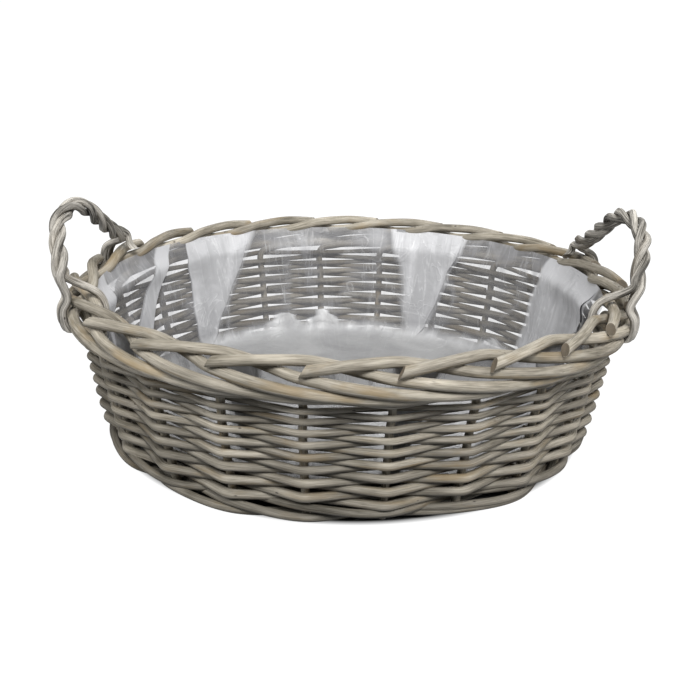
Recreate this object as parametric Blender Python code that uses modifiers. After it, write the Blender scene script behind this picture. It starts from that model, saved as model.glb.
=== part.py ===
"""Round willow display tray with a rolled border, two twisted handles and a clear plastic lining.

Every willow rod is a solid of its own. Twenty-two stakes stand round the base and, at the top, each
one is laid down along the rim as one rod of the border. Seventeen rows of weaving pass in front of one
stake and behind the next. A wale of three rods binds the foot, and two rods are woven in a spiral
over six fanned sticks to make the floor. Three strands twisted together make each handle, and their
ends wrap the border. The lining is a thin film that lies inside.

Lengths are in metres and +Z is up. The origin is on the floor under the middle of the tray, the
front looks along -Y and the handles stand at -X and +X. Angles round the tray are measured from the
front towards +X.
"""

import math

import bmesh
import bpy
from mathutils import Matrix, Vector

COLLECTION = "wicker_display_tray"
CUTTERS = "cutters"

# Clearance between rods that touch on the real tray
CLEARANCE = 0.0003
# Spare room at a kink, where a straight rod passes nearer to a round one
KINK_ROOM = 0.00025

# The wall, as the line that the middle of each stake follows
WALL_FOOT_R = 0.1470
WALL_TOP_R = 0.1680
WALL_BULGE = 0.0013
BORDER_Z = 0.091
STAKE_COUNT = 22
STAKE_D = 0.0048
STAKE_FOOT_Z = 0.0035
STAKE_TOP_BELOW_BORDER = 0.0135
STAKE_STEPS = 4

# The weave, from the top row down to the foot
ROW_COUNT = 17
TOP_ROW_Z = 0.0760
TOP_ROW_PITCH = 0.0030
FOOT_ROW_PITCH = 0.0048
TOP_WEAVER_D = 0.0027
FOOT_WEAVER_D = 0.0043
ROD_END_GAP = 0.003
JOIN_SHIFT_STAKES = 6

# The wale at the foot
WALE_COUNT = 3
WALE_D = 0.0037
WALE_PITCH = 0.0040
WALE_FLAT_SHARE = 0.1

# The border, laid down from the stakes
BORDER_SET_OUT = 0.0006
BORDER_SIZE = 0.012
BORDER_SPAN = 5
BORDER_INSIDE = 0.0080
# Intervals from the cut tip, then outwards and upwards from the border's middle, as shares of its size
BORDER_RUN_SHARES = (
    (0.00, 0.77, 0.57),
    (0.50, 0.33, 0.79),
    (1.00, -0.25, 0.77),
    (1.25, -0.43, 0.62),
    (1.50, -0.42, 0.42),
    (1.75, -0.13, 0.26),
    (2.00, 0.33, 0.17),
    (2.50, 0.76, -0.05),
    (3.00, 0.72, -0.37),
    (3.50, 0.58, -0.60),
    (4.00, 0.45, -0.72),
    (4.50, 0.17, -0.73),
    (4.75, -0.08, -0.80),
)

# The base
BASE_MID_Z = 0.0078
BASE_STICKS_EACH_WAY = 3
BASE_STICK_D = 0.0048
BASE_STICK_SPREAD = 0.0052
BASE_FAN_R = 0.020
BASE_WEAVER_D = 0.0034
BASE_ROW_PITCH = 0.0046
BASE_WEAVE_FROM_R = 0.026
BASE_ROUND_R = 0.118

# The handles
HANDLE_OUT = 0.1768
HANDLE_HALF_SPAN = 0.066
HANDLE_RISE = 0.0555
HANDLE_STRANDS = 3
HANDLE_STRAND_D = 0.0041
HANDLE_ROPE_R = 0.0031
HANDLE_TURNS = 3
HANDLE_STEPS_PER_TURN = 6
# Outwards, along the rim and up, as shares of the three sizes above, from the front foot to the back
HANDLE_ARCH_SHARES = (
    (0.955, -1.00, 0.36),
    (0.961, -0.97, 0.47),
    (0.975, -0.87, 0.63),
    (0.993, -0.70, 0.79),
    (1.000, -0.48, 0.93),
    (0.985, -0.22, 1.00),
    (0.957, 0.00, 0.95),
    (0.938, 0.20, 0.81),
    (0.923, 0.42, 0.65),
    (0.903, 0.68, 0.48),
    (0.885, 0.93, 0.355),
)
# Degrees round the border's section from its outer side, and distance as a share of the border's size
WRAP_INSIDE_SHARES = ((108, 1.29), (132, 1.15), (155, 1.03), (180, 0.965))
WRAP_OUTSIDE_SHARES = ((48, 1.38), (18, 1.24), (-12, 1.18), (-42, 1.20))
WRAP_SPREAD = 0.0034

# The lining
LINING_T = 0.0004
LINING_TOP_Z = 0.094
LINING_CORNER_R = 0.014
LINING_CORNER_STEPS = 3
LINING_WALL_STEPS = 3
LINING_SIDES = 44

# Straight steps between the given points of a smooth curve, before it is spaced evenly
CURVE_STEPS = 12

STEP = math.tau / STAKE_COUNT
BORDER_R = WALL_TOP_R + BORDER_SET_OUT


def wall_radius(z):
    """The radius of the stakes' middle line: a cone with a slight swell halfway up."""
    t = z / BORDER_Z
    return WALL_FOOT_R + (WALL_TOP_R - WALL_FOOT_R) * t + WALL_BULGE * 4 * t * (1 - t)


def place(radius, angle, z):
    """A point from its distance from the middle, its angle from the front and its height."""
    return Vector((radius * math.sin(angle), -radius * math.cos(angle), z))


def stake_angle(index):
    """The angle of a stake, half a step either side of the front for the first and last."""
    return (index + 0.5) * STEP


def smooth_path(keys, count):
    """Points spaced evenly along a Catmull-Rom curve through the keys."""
    fine = []
    for i in range(len(keys) - 1):
        a, b = keys[max(i - 1, 0)], keys[i]
        c, d = keys[i + 1], keys[min(i + 2, len(keys) - 1)]
        for k in range(CURVE_STEPS):
            t = k / CURVE_STEPS
            square, cube = 2 * a - 5 * b + 4 * c - d, 3 * b - a - 3 * c + d
            fine.append((2 * b + (c - a) * t + square * t**2 + cube * t**3) / 2)
    fine.append(keys[-1].copy())
    along = [0]
    for p, q in zip(fine, fine[1:]):
        along.append(along[-1] + (q - p).length)
    points, j = [], 0
    for k in range(count):
        want = along[-1] * k / (count - 1)
        while j < len(fine) - 2 and along[j + 1] < want:
            j += 1
        part = (want - along[j]) / (along[j + 1] - along[j])
        points.append(fine[j].lerp(fine[j + 1], part))
    return points


def material(name, colour, roughness, alpha=1):
    made = bpy.data.materials.new(name)
    made.use_nodes = True
    shader = made.node_tree.nodes["Principled BSDF"]
    shader.inputs["Base Color"].default_value = (*colour, 1)
    shader.inputs["Roughness"].default_value = roughness
    shader.inputs["Metallic"].default_value = 0
    shader.inputs["Alpha"].default_value = alpha
    return made


def keep(name, data, finish, group):
    """Adds an object with its own material to a collection."""
    piece = bpy.data.objects.new(name, data)
    data.materials.append(finish)
    group.objects.link(piece)
    return piece


def rod(name, points, diameter, finish, group, roundness=1):
    """A round rod along the points, with closed ends."""
    data = bpy.data.curves.new(name, "CURVE")
    data.dimensions = "3D"
    data.bevel_depth = diameter / 2
    data.bevel_resolution = roundness
    data.use_fill_caps = True
    spline = data.splines.new("POLY")
    spline.points.add(len(points) - 1)
    for slot, point in zip(spline.points, points):
        slot.co = (*point, 1)
    return keep(name, data, finish, group)


def as_mesh(piece, merge):
    """Turns a rod into a mesh with its ends joined on, so that it can be cut."""
    seen = piece.evaluated_get(bpy.context.evaluated_depsgraph_get())
    data = bpy.data.meshes.new_from_object(seen)
    solid = bmesh.new()
    solid.from_mesh(data)
    bmesh.ops.remove_doubles(solid, verts=solid.verts, dist=merge)
    solid.to_mesh(data)
    solid.free()
    name, group, place_in_world = piece.name, piece.users_collection[0], piece.matrix_world.copy()
    bpy.data.objects.remove(piece)
    made = bpy.data.objects.new(name, data)
    made.matrix_world = place_in_world
    group.objects.link(made)
    return made


def row_heights():
    """The height and the rod diameter of each row of weaving, whose pitch widens towards the foot."""
    rows, z = [], TOP_ROW_Z
    for k in range(ROW_COUNT):
        down = k / (ROW_COUNT - 1)
        rows.append((z, TOP_WEAVER_D + (FOOT_WEAVER_D - TOP_WEAVER_D) * down))
        z -= TOP_ROW_PITCH + (FOOT_ROW_PITCH - TOP_ROW_PITCH) * (k + 0.5) / (ROW_COUNT - 1)
    return rows


def beside_stake(diameter):
    """How far a rod's middle lies from the middle of the stake that it passes."""
    return STAKE_D / 2 + diameter / 2 + CLEARANCE + KINK_ROOM


def woven_ring(z, diameter, first, outside):
    """A rod once round the stakes, from behind one of them, outside the stakes that the test picks."""
    away = beside_stake(diameter)
    radius = wall_radius(z)
    gap = ROD_END_GAP / 2 / radius
    points = []
    for k in range(STAKE_COUNT + 1):
        index = first + k
        side = away if outside(index) and 0 < k < STAKE_COUNT else -away
        angle = stake_angle(index) + (gap if k == 0 else -gap if k == STAKE_COUNT else 0)
        points.append(place(radius + side, angle, z))
    return points


def border_run(index):
    """The middle of a border rod, from where its stake bends over to its cut tip."""
    points = []
    for interval, out, up in reversed(BORDER_RUN_SHARES):
        angle = stake_angle(index) - (BORDER_SPAN - interval) * STEP
        points.append(place(BORDER_R + BORDER_SIZE * out, angle, BORDER_Z + BORDER_SIZE * up))
    return points


def stakes(finish, group):
    """Each stake stands in the wall and lies down at the top as one rod of the border."""
    top = BORDER_Z - STAKE_TOP_BELOW_BORDER
    for index in range(STAKE_COUNT):
        upright = []
        for k in range(STAKE_STEPS):
            z = STAKE_FOOT_Z + (top - STAKE_FOOT_Z) * k / (STAKE_STEPS - 1)
            upright.append(place(wall_radius(z), stake_angle(index), z))
        rod(f"stake_{index + 1:02d}", upright + border_run(index), STAKE_D, finish, group)


def weavers(finish, group):
    """Rows that pass in front of every second stake, each row opposite to the one above."""
    for k, (z, diameter) in enumerate(row_heights()):
        first = k * JOIN_SHIFT_STAKES + (k + 1) % 2
        points = woven_ring(z, diameter, first, lambda index: (index + k) % 2 == 0)
        rod(f"weaver_{k + 1:02d}", points, diameter, finish, group)


def lowest_wale_z():
    """The height at which the lowest wale rod dips into the floor by the depth of its flat."""
    return WALE_D / 2 - WALE_D * WALE_FLAT_SHARE


def foot_wale(finish, group, cutters):
    """Rods in front of two stakes and behind one, each a stake further on. The lowest is cut flat."""
    for k in range(WALE_COUNT):
        first = k * (JOIN_SHIFT_STAKES + 1)
        points = woven_ring(
            lowest_wale_z() + k * WALE_PITCH, WALE_D, first, lambda index: (index - first) % WALE_COUNT != 0
        )
        made = rod(f"foot_wale_{k + 1}", points, WALE_D, finish, group)
        if k == 0:
            flat_foot(as_mesh(made, CLEARANCE / 10), cutters)


def flat_foot(piece, cutters):
    """Cuts a rod level with the floor."""
    side = 2 * (WALL_TOP_R + STAKE_D)
    bpy.ops.mesh.primitive_cube_add(size=1, location=(0, 0, -WALE_D / 2))
    floor = bpy.context.object
    floor.name = "floor_cutter"
    floor.scale = (side, side, WALE_D)
    for group in list(floor.users_collection):
        group.objects.unlink(floor)
    cutters.objects.link(floor)
    floor.hide_render = True
    floor.display_type = "WIRE"
    cut = piece.modifiers.new("level", "BOOLEAN")
    cut.operation = "DIFFERENCE"
    cut.solver = "EXACT"
    cut.object = floor


def base_reach():
    """The edge of the base, which lies against the inside of the wale."""
    return wall_radius(lowest_wale_z()) - beside_stake(WALE_D) - WALE_D / 2 - CLEARANCE


def base_stick(name, turn, side, lift, finish, group):
    """A stick through the middle that fans out to its ray at both ends."""
    ray = side * math.tau / (4 * BASE_STICKS_EACH_WAY)
    reach = base_reach()
    half = BASE_STICK_SPREAD / math.tan(abs(ray)) if side else BASE_STICK_SPREAD
    points = []
    for end in (-1, 1):
        ends = [
            Vector((reach * math.sin(ray), end * reach * math.cos(ray), BASE_MID_Z)),
            Vector((BASE_FAN_R * math.sin(ray), end * BASE_FAN_R * math.cos(ray), BASE_MID_Z)),
            Vector((side * BASE_STICK_SPREAD, end * half, BASE_MID_Z + lift)),
        ]
        points += ends if end < 0 else ends[::-1]
    turned = Matrix.Rotation(turn, 3, "Z")
    rod(name, [turned @ point for point in points], BASE_STICK_D, finish, group)


def base_lift(radius):
    """How far a base rod's middle lies above or below the stick that it passes, more where it is steep."""
    level = BASE_STICK_D / 2 + BASE_WEAVER_D / 2 + CLEARANCE
    arc = radius * math.tau / (4 * BASE_STICKS_EACH_WAY)
    return level * arc / math.sqrt(arc**2 - (2 * level) ** 2)


def base_spiral(name, start, outer, over, at_rim, finish, group):
    """One rod of the floor, wound outwards over one ray and under the next, then some steps at the rim."""
    rays = 4 * BASE_STICKS_EACH_WAY
    points = []
    winding = int((outer - start) / BASE_ROW_PITCH * rays)
    for half_steps in range(winding + at_rim + 1):
        radius = min(start + BASE_ROW_PITCH * half_steps / rays, outer)
        angle = half_steps * math.pi / rays
        if half_steps % 2 == 0:
            up = base_lift(radius) if (half_steps // 2 + over) % 2 else -base_lift(radius)
            points.append(place(radius, angle, BASE_MID_Z + up))
        elif radius > BASE_ROUND_R:
            points.append(place(radius, angle, BASE_MID_Z))
    rod(name, points, BASE_WEAVER_D, finish, group, 0)


def base(finish, group):
    """Six sticks crossed three by three, and two rods woven round them."""
    number = 1
    lift = (BASE_STICK_D + CLEARANCE) / 2
    for turn, up in ((0, -lift), (math.pi / 2, lift)):
        for side in (-1, 0, 1):
            base_stick(f"base_stick_{number}", turn, side, up, finish, group)
            number += 1
    half_turn = 4 * BASE_STICKS_EACH_WAY
    rim = base_reach() - BASE_WEAVER_D / 2
    first, second = BASE_WEAVE_FROM_R, BASE_WEAVE_FROM_R + BASE_ROW_PITCH
    base_spiral("base_weaver_1", first, rim - BASE_ROW_PITCH, 0, 0, finish, group)
    base_spiral("base_weaver_2", second, rim, 1, half_turn, finish, group)


def handle_foot(end, strand, side):
    """The end of one strand, wrapped round the border from where the rope stops."""
    angle = math.atan2(end.x, -end.y)
    outwards = Vector((math.sin(angle), -math.cos(angle), 0))
    along = Vector((math.cos(angle), math.sin(angle), 0))
    shares = WRAP_INSIDE_SHARES if strand == 0 else WRAP_OUTSIDE_SHARES
    aside = WRAP_SPREAD * (0, 1, -1)[strand] * side
    points = []
    for degrees, share in shares:
        turn, far = math.radians(degrees), BORDER_SIZE * share
        middle = outwards * (BORDER_R + far * math.cos(turn))
        points.append(middle + along * aside + Vector((0, 0, BORDER_Z + far * math.sin(turn))))
    return points


def handles(finish, group):
    """Three strands twisted about one arch at each side, opened out over the border at the feet."""
    for name, mirror in (("left", -1), ("right", 1)):
        keys = [
            Vector((mirror * HANDLE_OUT * out, HANDLE_HALF_SPAN * along, BORDER_Z + HANDLE_RISE * up))
            for out, along, up in HANDLE_ARCH_SHARES
        ]
        steps = HANDLE_TURNS * HANDLE_STEPS_PER_TURN
        arch = smooth_path(keys, steps + 1)
        for strand in range(HANDLE_STRANDS):
            twisted = []
            for k, point in enumerate(arch):
                tangent = (arch[min(k + 1, steps)] - arch[max(k - 1, 0)]).normalized()
                outwards = Vector((mirror, 0, 0))
                outwards = (outwards - tangent * outwards.dot(tangent)).normalized()
                across = tangent.cross(outwards)
                turn = math.pi + math.tau * (strand / HANDLE_STRANDS + k / HANDLE_STEPS_PER_TURN)
                aside = math.cos(turn) * outwards + math.sin(turn) * across
                twisted.append(point + HANDLE_ROPE_R * aside)
            front = handle_foot(arch[0], strand, -1)[::-1]
            back = handle_foot(arch[-1], strand, 1)
            node = f"{name}_handle_strand_{strand + 1}"
            rod(node, front + twisted + back, HANDLE_STRAND_D, finish, group)


def lining_profile():
    """The lining's section from the middle outwards: a flat floor, a round corner and the wall."""
    floor_z = BASE_MID_Z + base_lift(BASE_WEAVE_FROM_R) + BASE_WEAVER_D / 2 + CLEARANCE + LINING_T / 2
    inset = beside_stake(FOOT_WEAVER_D) + FOOT_WEAVER_D / 2 + CLEARANCE + LINING_T / 2
    corner_z = floor_z + LINING_CORNER_R
    wall_r = wall_radius(corner_z) - inset
    points = [(0, floor_z), (wall_r - LINING_CORNER_R, floor_z)]
    for k in range(1, LINING_CORNER_STEPS + 1):
        turn = math.pi / 2 * k / LINING_CORNER_STEPS
        points.append(
            (wall_r - LINING_CORNER_R * (1 - math.sin(turn)), corner_z - LINING_CORNER_R * math.cos(turn))
        )
    under_border = BORDER_Z - BORDER_SIZE
    for k in range(1, LINING_WALL_STEPS + 1):
        z = corner_z + (under_border - corner_z) * k / LINING_WALL_STEPS
        points.append((wall_radius(z) - inset, z))
    points.append((BORDER_R - BORDER_INSIDE - LINING_T / 2, LINING_TOP_Z))
    return points


def lining(finish, group):
    data = bpy.data.meshes.new("lining")
    profile = [(r, 0, z) for r, z in lining_profile()]
    data.from_pydata(profile, [(k, k + 1) for k in range(len(profile) - 1)], [])
    piece = keep("lining", data, finish, group)
    turned = piece.modifiers.new("turned", "SCREW")
    turned.steps = turned.render_steps = LINING_SIDES
    turned.use_merge_vertices = True
    turned.merge_threshold = LINING_T / 10
    turned.use_normal_calculate = True
    film = piece.modifiers.new("film", "SOLIDIFY")
    film.thickness = LINING_T
    film.offset = 0


def build():
    for old in list(bpy.data.objects):
        bpy.data.objects.remove(old)
    group = bpy.data.collections.new(COLLECTION)
    cutters = bpy.data.collections.new(CUTTERS)
    for made in (group, cutters):
        bpy.context.scene.collection.children.link(made)
    willow = material("grey_washed_willow", (0.42, 0.38, 0.32), 0.75)
    handle_willow = material("handle_willow", (0.36, 0.33, 0.29), 0.8)
    film = material("clear_film", (0.85, 0.86, 0.87), 0.25, 0.35)
    stakes(willow, group)
    weavers(willow, group)
    foot_wale(willow, group, cutters)
    base(willow, group)
    handles(handle_willow, group)
    lining(film, group)


build()
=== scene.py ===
"""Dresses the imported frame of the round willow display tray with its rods, border, handles and lining.

Every willow rod is a tube worked out with numpy along the line that its CAD solid follows, with a
taper, slow swells and slanted cut ends. Each strand of a handle has the ridges of a few split rods. The
lining is a round sheet of clear film whose spare width lies in folded pleats against the wall.

Lengths are in metres and +Z is up. The front looks along -Y. Angles round the tray are measured from
the front towards +X, and the stakes are numbered that way.
"""

import math

import bpy
import numpy as np
from bpy.props import FloatProperty, FloatVectorProperty, IntProperty, PointerProperty
from mathutils import Matrix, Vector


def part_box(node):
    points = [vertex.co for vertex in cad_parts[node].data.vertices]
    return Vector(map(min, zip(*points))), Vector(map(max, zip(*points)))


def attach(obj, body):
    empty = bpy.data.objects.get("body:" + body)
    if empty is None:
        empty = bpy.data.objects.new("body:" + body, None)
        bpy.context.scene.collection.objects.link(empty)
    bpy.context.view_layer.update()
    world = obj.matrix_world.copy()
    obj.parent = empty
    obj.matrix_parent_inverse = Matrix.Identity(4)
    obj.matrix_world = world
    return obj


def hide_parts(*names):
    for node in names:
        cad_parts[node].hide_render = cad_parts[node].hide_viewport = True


bl_info = {
    "name": "Willow display tray",
    "version": (1, 0, 0),
    "blender": (4, 5, 0),
    "location": "3D View > Sidebar > Willow tray",
    "description": "Builds the rods, handles and clear lining of a round willow tray on its packed frame",
    "category": "Add Mesh",
}

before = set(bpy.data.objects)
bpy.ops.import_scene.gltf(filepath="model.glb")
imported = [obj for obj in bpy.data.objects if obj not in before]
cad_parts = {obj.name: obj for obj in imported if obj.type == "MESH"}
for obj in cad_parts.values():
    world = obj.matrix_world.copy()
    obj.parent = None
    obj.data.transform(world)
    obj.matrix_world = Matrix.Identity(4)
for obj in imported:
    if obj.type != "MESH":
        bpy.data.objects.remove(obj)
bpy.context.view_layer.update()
BODY = "root"

# Every kind of piece draws its random numbers from seeds of its own
SEED = 22
SEED_STEP = 122
SEEDED_KINDS = ("stake", "weaver", "wale", "base stick", "base weaver", "strand", "lining")
RIGHT_HANDLE_SEEDS = 10


def count_nodes(start):
    """How many of the frame's nodes have a name that starts so."""
    return sum(name.startswith(start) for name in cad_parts)


STAKES = count_nodes("stake_")
ROWS = count_nodes("weaver_")
WALES = count_nodes("foot_wale_")
STICKS_EACH_WAY = count_nodes("base_stick_") // 2
RAYS = 4 * STICKS_EACH_WAY
STRANDS = count_nodes("left_handle_strand_")
STEP = math.tau / STAKES

# The middle of a border rod: intervals from its cut tip, then shares of the border's size out and up
BORDER_SPAN = 5
BORDER_RUN_SHARES = (
    (0.00, 0.77, 0.57),
    (0.50, 0.33, 0.79),
    (1.00, -0.25, 0.77),
    (1.25, -0.43, 0.62),
    (1.50, -0.42, 0.42),
    (1.75, -0.13, 0.26),
    (2.00, 0.33, 0.17),
    (2.50, 0.76, -0.05),
    (3.00, 0.72, -0.37),
    (3.50, 0.58, -0.60),
    (4.00, 0.45, -0.72),
    (4.50, 0.17, -0.73),
    (4.75, -0.08, -0.80),
)

# A handle's arch: shares of its reach, half its span and its rise, from the front foot to the back
HANDLE_ARCH_SHARES = (
    (0.955, -1.00, 0.36),
    (0.961, -0.97, 0.47),
    (0.975, -0.87, 0.63),
    (0.993, -0.70, 0.79),
    (1.000, -0.48, 0.93),
    (0.985, -0.22, 1.00),
    (0.957, 0.00, 0.95),
    (0.938, 0.20, 0.81),
    (0.923, 0.42, 0.65),
    (0.903, 0.68, 0.48),
    (0.885, 0.93, 0.355),
)
# How a strand's end wraps the border: degrees round the border's section from its outer side, and
# distance as a share of the border's size. At the back foot the inner end stops after a few points
WRAP_INSIDE_SHARES = ((108, 1.29), (132, 1.15), (155, 1.03), (180, 0.965))
WRAP_OUTSIDE_SHARES = ((48, 1.38), (18, 1.24), (-12, 1.18), (-42, 1.20))
BACK_INSIDE_POINTS = 2

# The pleats of the lining: angle from the front in degrees at the top and at the foot of the wall, then
# width at the top and at the foot as shares of the lining's pleat
PLEAT_SHARES = (
    (14, 11, 0.45, 0.10),
    (47, 50, 0.50, 0.15),
    (104, 112, 1.40, 0.95),
    (157, 159, 0.95, 0.27),
    (218, 226, 1.00, 0.33),
    (236, 257, 0.22, 0.40),
    (272, 279, 0.50, 0.30),
    (305, 302, 0.50, 0.20),
    (338, 340, 0.45, 0.15),
)
# Where the film stands up from the corner in a tent: angle and spread in degrees, and share of height
TENT_SHARES = (
    (200, 5.5, 0.95),
    (188, 5, 1.0),
    (172, 7, 0.35),
    (60, 6, 0.6),
    (300, 7, 0.7),
    (131, 6, 0.5),
)
# Where the film is crumpled under the border, in the same way. On the left and the right wall the
# film is also drawn milkier there, as painted reflection of film seen edge-on
CRUMPLED_AND_SHEEN_SHARES = (
    (196, 12, 1.0),
    (171, 10, 0.8),
    (140, 16, 0.5),
    (258, 26, 1.0),
    (96, 22, 0.9),
    (10, 30, 0.5),
)


class TrayWall(bpy.types.PropertyGroup):
    """The cone that the stakes stand in."""

    foot_radius: FloatProperty(
        name="Foot radius", description="Radius of the stakes' middles at the floor",
        default=0.1470, unit="LENGTH",
    )
    top_radius: FloatProperty(
        name="Top radius", description="Radius of the stakes' middles at the border",
        default=0.1680, unit="LENGTH",
    )
    bulge: FloatProperty(
        name="Bulge", description="How far the wall swells outwards halfway up",
        default=0.0013, unit="LENGTH",
    )
    stake_diameter: FloatProperty(
        name="Stake", description="Thickness of a side stake", default=0.0048, unit="LENGTH",
    )
    stake_top: FloatProperty(
        name="Stake top", description="Height at which a stake bends over into the border",
        default=0.0775, unit="LENGTH",
    )


class TrayWeave(bpy.types.PropertyGroup):
    """The rods woven through the stakes."""

    fullness: FloatProperty(
        name="Fullness", description="Thickness of a row's rod as a share of the space for its row",
        default=1.19,
    )
    wale_diameter: FloatProperty(
        name="Wale rod", description="Thickness of the rods that bind the foot",
        default=0.0048, unit="LENGTH",
    )
    wale_dip: FloatProperty(
        name="Wale dip", description="How far an upper wale rod dips where the one below it goes inside",
        default=0.0020, unit="LENGTH",
    )
    wale_slant: FloatProperty(
        name="Wale slant", description="How far a wale rod drops between the two stakes that it passes",
        default=0.0012, unit="LENGTH",
    )
    top_lift: FloatProperty(
        name="Top lift", description="How far the first row is pushed up under the border",
        default=0.0014, unit="LENGTH",
    )
    waver: FloatProperty(
        name="Waver", description="How far a row strays up and down by hand", default=0.0004,
        unit="LENGTH",
    )


class TrayBorder(bpy.types.PropertyGroup):
    """The rolled border that the stakes are laid down in."""

    height: FloatProperty(
        name="Height", description="Height of the border's middle", default=0.091, unit="LENGTH",
    )
    radius: FloatProperty(
        name="Radius", description="Radius of the border's middle", default=0.1686, unit="LENGTH",
    )
    size: FloatProperty(
        name="Size", description="Size that the border's section is drawn to", default=0.012,
        unit="LENGTH",
    )
    rod_diameter: FloatProperty(
        name="Rod", description="Thickness of a stake where it lies in the border", default=0.0066,
        unit="LENGTH",
    )


class TrayBase(bpy.types.PropertyGroup):
    """The woven floor."""

    height: FloatProperty(
        name="Height", description="Height of the sticks' middles", default=0.0078, unit="LENGTH",
    )
    stick_spread: FloatProperty(
        name="Stick spread", description="Distance between the sticks where they cross",
        default=0.0052, unit="LENGTH",
    )
    fan_radius: FloatProperty(
        name="Fan radius", description="Radius at which the sticks have opened out",
        default=0.020, unit="LENGTH",
    )
    weave_from: FloatProperty(
        name="Weave from", description="Radius at which the floor's weave starts", default=0.026,
        unit="LENGTH",
    )
    row_pitch: FloatProperty(
        name="Row pitch", description="Distance between the rows of the floor", default=0.0046,
        unit="LENGTH",
    )
    rod_diameter: FloatProperty(
        name="Rod", description="Thickness of the rods woven in the floor", default=0.0037,
        unit="LENGTH",
    )
    stick_diameter: FloatProperty(
        name="Stick", description="Thickness of a base stick", default=0.0048, unit="LENGTH",
    )


class TrayHandles(bpy.types.PropertyGroup):
    """The two twisted handles."""

    reach: FloatProperty(
        name="Reach", description="Distance of the rope from the middle of the tray",
        default=0.1768, unit="LENGTH",
    )
    half_span: FloatProperty(
        name="Half span", description="Half the distance between a handle's feet", default=0.066,
        unit="LENGTH",
    )
    rise: FloatProperty(
        name="Rise", description="Height of the rope over the border's middle", default=0.0555,
        unit="LENGTH",
    )
    rope_radius: FloatProperty(
        name="Rope radius", description="Distance of a strand from the rope's middle",
        default=0.0030, unit="LENGTH",
    )
    strand_diameter: FloatProperty(
        name="Strand", description="Thickness of one strand of the rope", default=0.0051,
        unit="LENGTH",
    )
    turns: IntProperty(name="Turns", description="Turns of the rope between its feet", default=3)
    wrap_spread: FloatProperty(
        name="Wrap spread", description="Distance between the strands where they wrap the border",
        default=0.0034, unit="LENGTH",
    )


class TrayLining(bpy.types.PropertyGroup):
    """The clear film that lies in the tray."""

    cut_width: FloatProperty(
        name="Cut width", description="Diameter of the round sheet before it is pressed in",
        default=0.48, unit="LENGTH",
    )
    corner: FloatProperty(
        name="Corner", description="Radius of the bend from the floor to the wall", default=0.014,
        unit="LENGTH",
    )
    pleat: FloatProperty(
        name="Pleat", description="Width of a full pleat at the top", default=0.058,
        unit="LENGTH",
    )
    layer_gap: FloatProperty(
        name="Layer gap", description="Distance between the layers of a pleat", default=0.0010,
        unit="LENGTH",
    )
    crumple: FloatProperty(
        name="Crumple", description="Height of the creases on the floor", default=0.0026,
        unit="LENGTH",
    )
    tent: FloatProperty(
        name="Tent", description="Height at which the film stands up from the corner", default=0.009,
        unit="LENGTH",
    )


class TrayFinish(bpy.types.PropertyGroup):
    """The colours of the willow and of the film."""

    bark: FloatVectorProperty(
        name="Bark", description="Grey brown of the willow", default=(0.105, 0.092, 0.067),
        subtype="COLOR",
    )
    wash: FloatVectorProperty(
        name="Wash", description="Pale grey wash that lies on the bark",
        default=(0.43, 0.39, 0.32), subtype="COLOR",
    )
    stain: FloatVectorProperty(
        name="Stain", description="Brown and ochre patches where the wash is thin",
        default=(0.235, 0.175, 0.095), subtype="COLOR",
    )
    dark: FloatVectorProperty(
        name="Dark", description="Scars, cracks and dirt", default=(0.045, 0.035, 0.028),
        subtype="COLOR",
    )
    cut_wood: FloatVectorProperty(
        name="Cut wood", description="The wood on a cut end", default=(0.16, 0.125, 0.09),
        subtype="COLOR",
    )
    film: FloatVectorProperty(
        name="Film", description="The film where a pleat doubles it", default=(0.50, 0.50, 0.51),
        subtype="COLOR",
    )
    film_veil: FloatVectorProperty(
        name="Film veil", description="A single layer of film on the wall",
        default=(0.25, 0.25, 0.26), subtype="COLOR",
    )
    film_floor: FloatVectorProperty(
        name="Film on the floor", description="The film that lies on the dark base",
        default=(0.36, 0.36, 0.36), subtype="COLOR",
    )
    floor: FloatVectorProperty(
        name="Floor", description="The pale floor, besides its glow", default=(0.05, 0.05, 0.05),
        subtype="COLOR",
    )
    floor_under: FloatVectorProperty(
        name="Floor under the tray", description="Colour of the floor where the tray keeps the light off it",
        default=(0.10, 0.10, 0.10), subtype="COLOR",
    )
    floor_bounce: FloatVectorProperty(
        name="Floor bounce", description="Colour of the light that the floor throws back",
        default=(0.20, 0.21, 0.23), subtype="COLOR",
    )


# Curves and surfaces

RING_SPACING = 0.0016
PATH_STEPS = 24
SHARP_ANGLE = math.radians(50)
ZIGZAG_SHARPNESS = 0.97

# A rod's section: it swells along the rod, and it is a little oval, with an oval that turns
ROD_SIDES = 14
SWELL_WAVES = 3
SWELL_SHARE = 0.025
OVAL_WAVES = 2
OVAL_TURN = 2.0
OVAL_SHARE = 0.03

# The ridges of the split rods in a strand, which turn less than the oval does
STRAND_SIDES = 24
STRAND_LOBES = 3
LOBE_GROOVE_SHARE = 0.22
LOBE_LAG = 3

# A cut end: the rings of its face as shares of the last ring, then how deep they and its middle lie
# and how far a slanted cut reaches along the rod, as shares of the thickness
CUT_FACE_SHARES = (0.93, 0.60, 0.25)
CUT_DISH_SHARES = (0.00, 0.08, 0.12)
CUT_MIDDLE_SHARE = 0.13
CUT_REACH_SHARE = 2.5
LEAST_SLANT_SHARE = 0.01
PLAIN_SLANT_SHARES = (0.25, 0.25)

# Length of the bark's pattern that the rods are cut from at random
BARK_LENGTH = 20


def draws(kind, number=0):
    """The random numbers of one piece, the same in each run."""
    return np.random.default_rng(SEED + SEED_STEP * SEEDED_KINDS.index(kind) + number)


def unit_vectors(vectors):
    """Each vector divided by its length."""
    return vectors / np.linalg.norm(vectors, axis=-1, keepdims=True)


def place(radius, angle, z):
    """Points from distance to the middle, angle from the front and height: (r sin a, -r cos a, z)."""
    radius, angle, z = np.broadcast_arrays(radius, angle, z)
    return np.stack([radius * np.sin(angle), -radius * np.cos(angle), z], axis=-1).astype(float)


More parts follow.
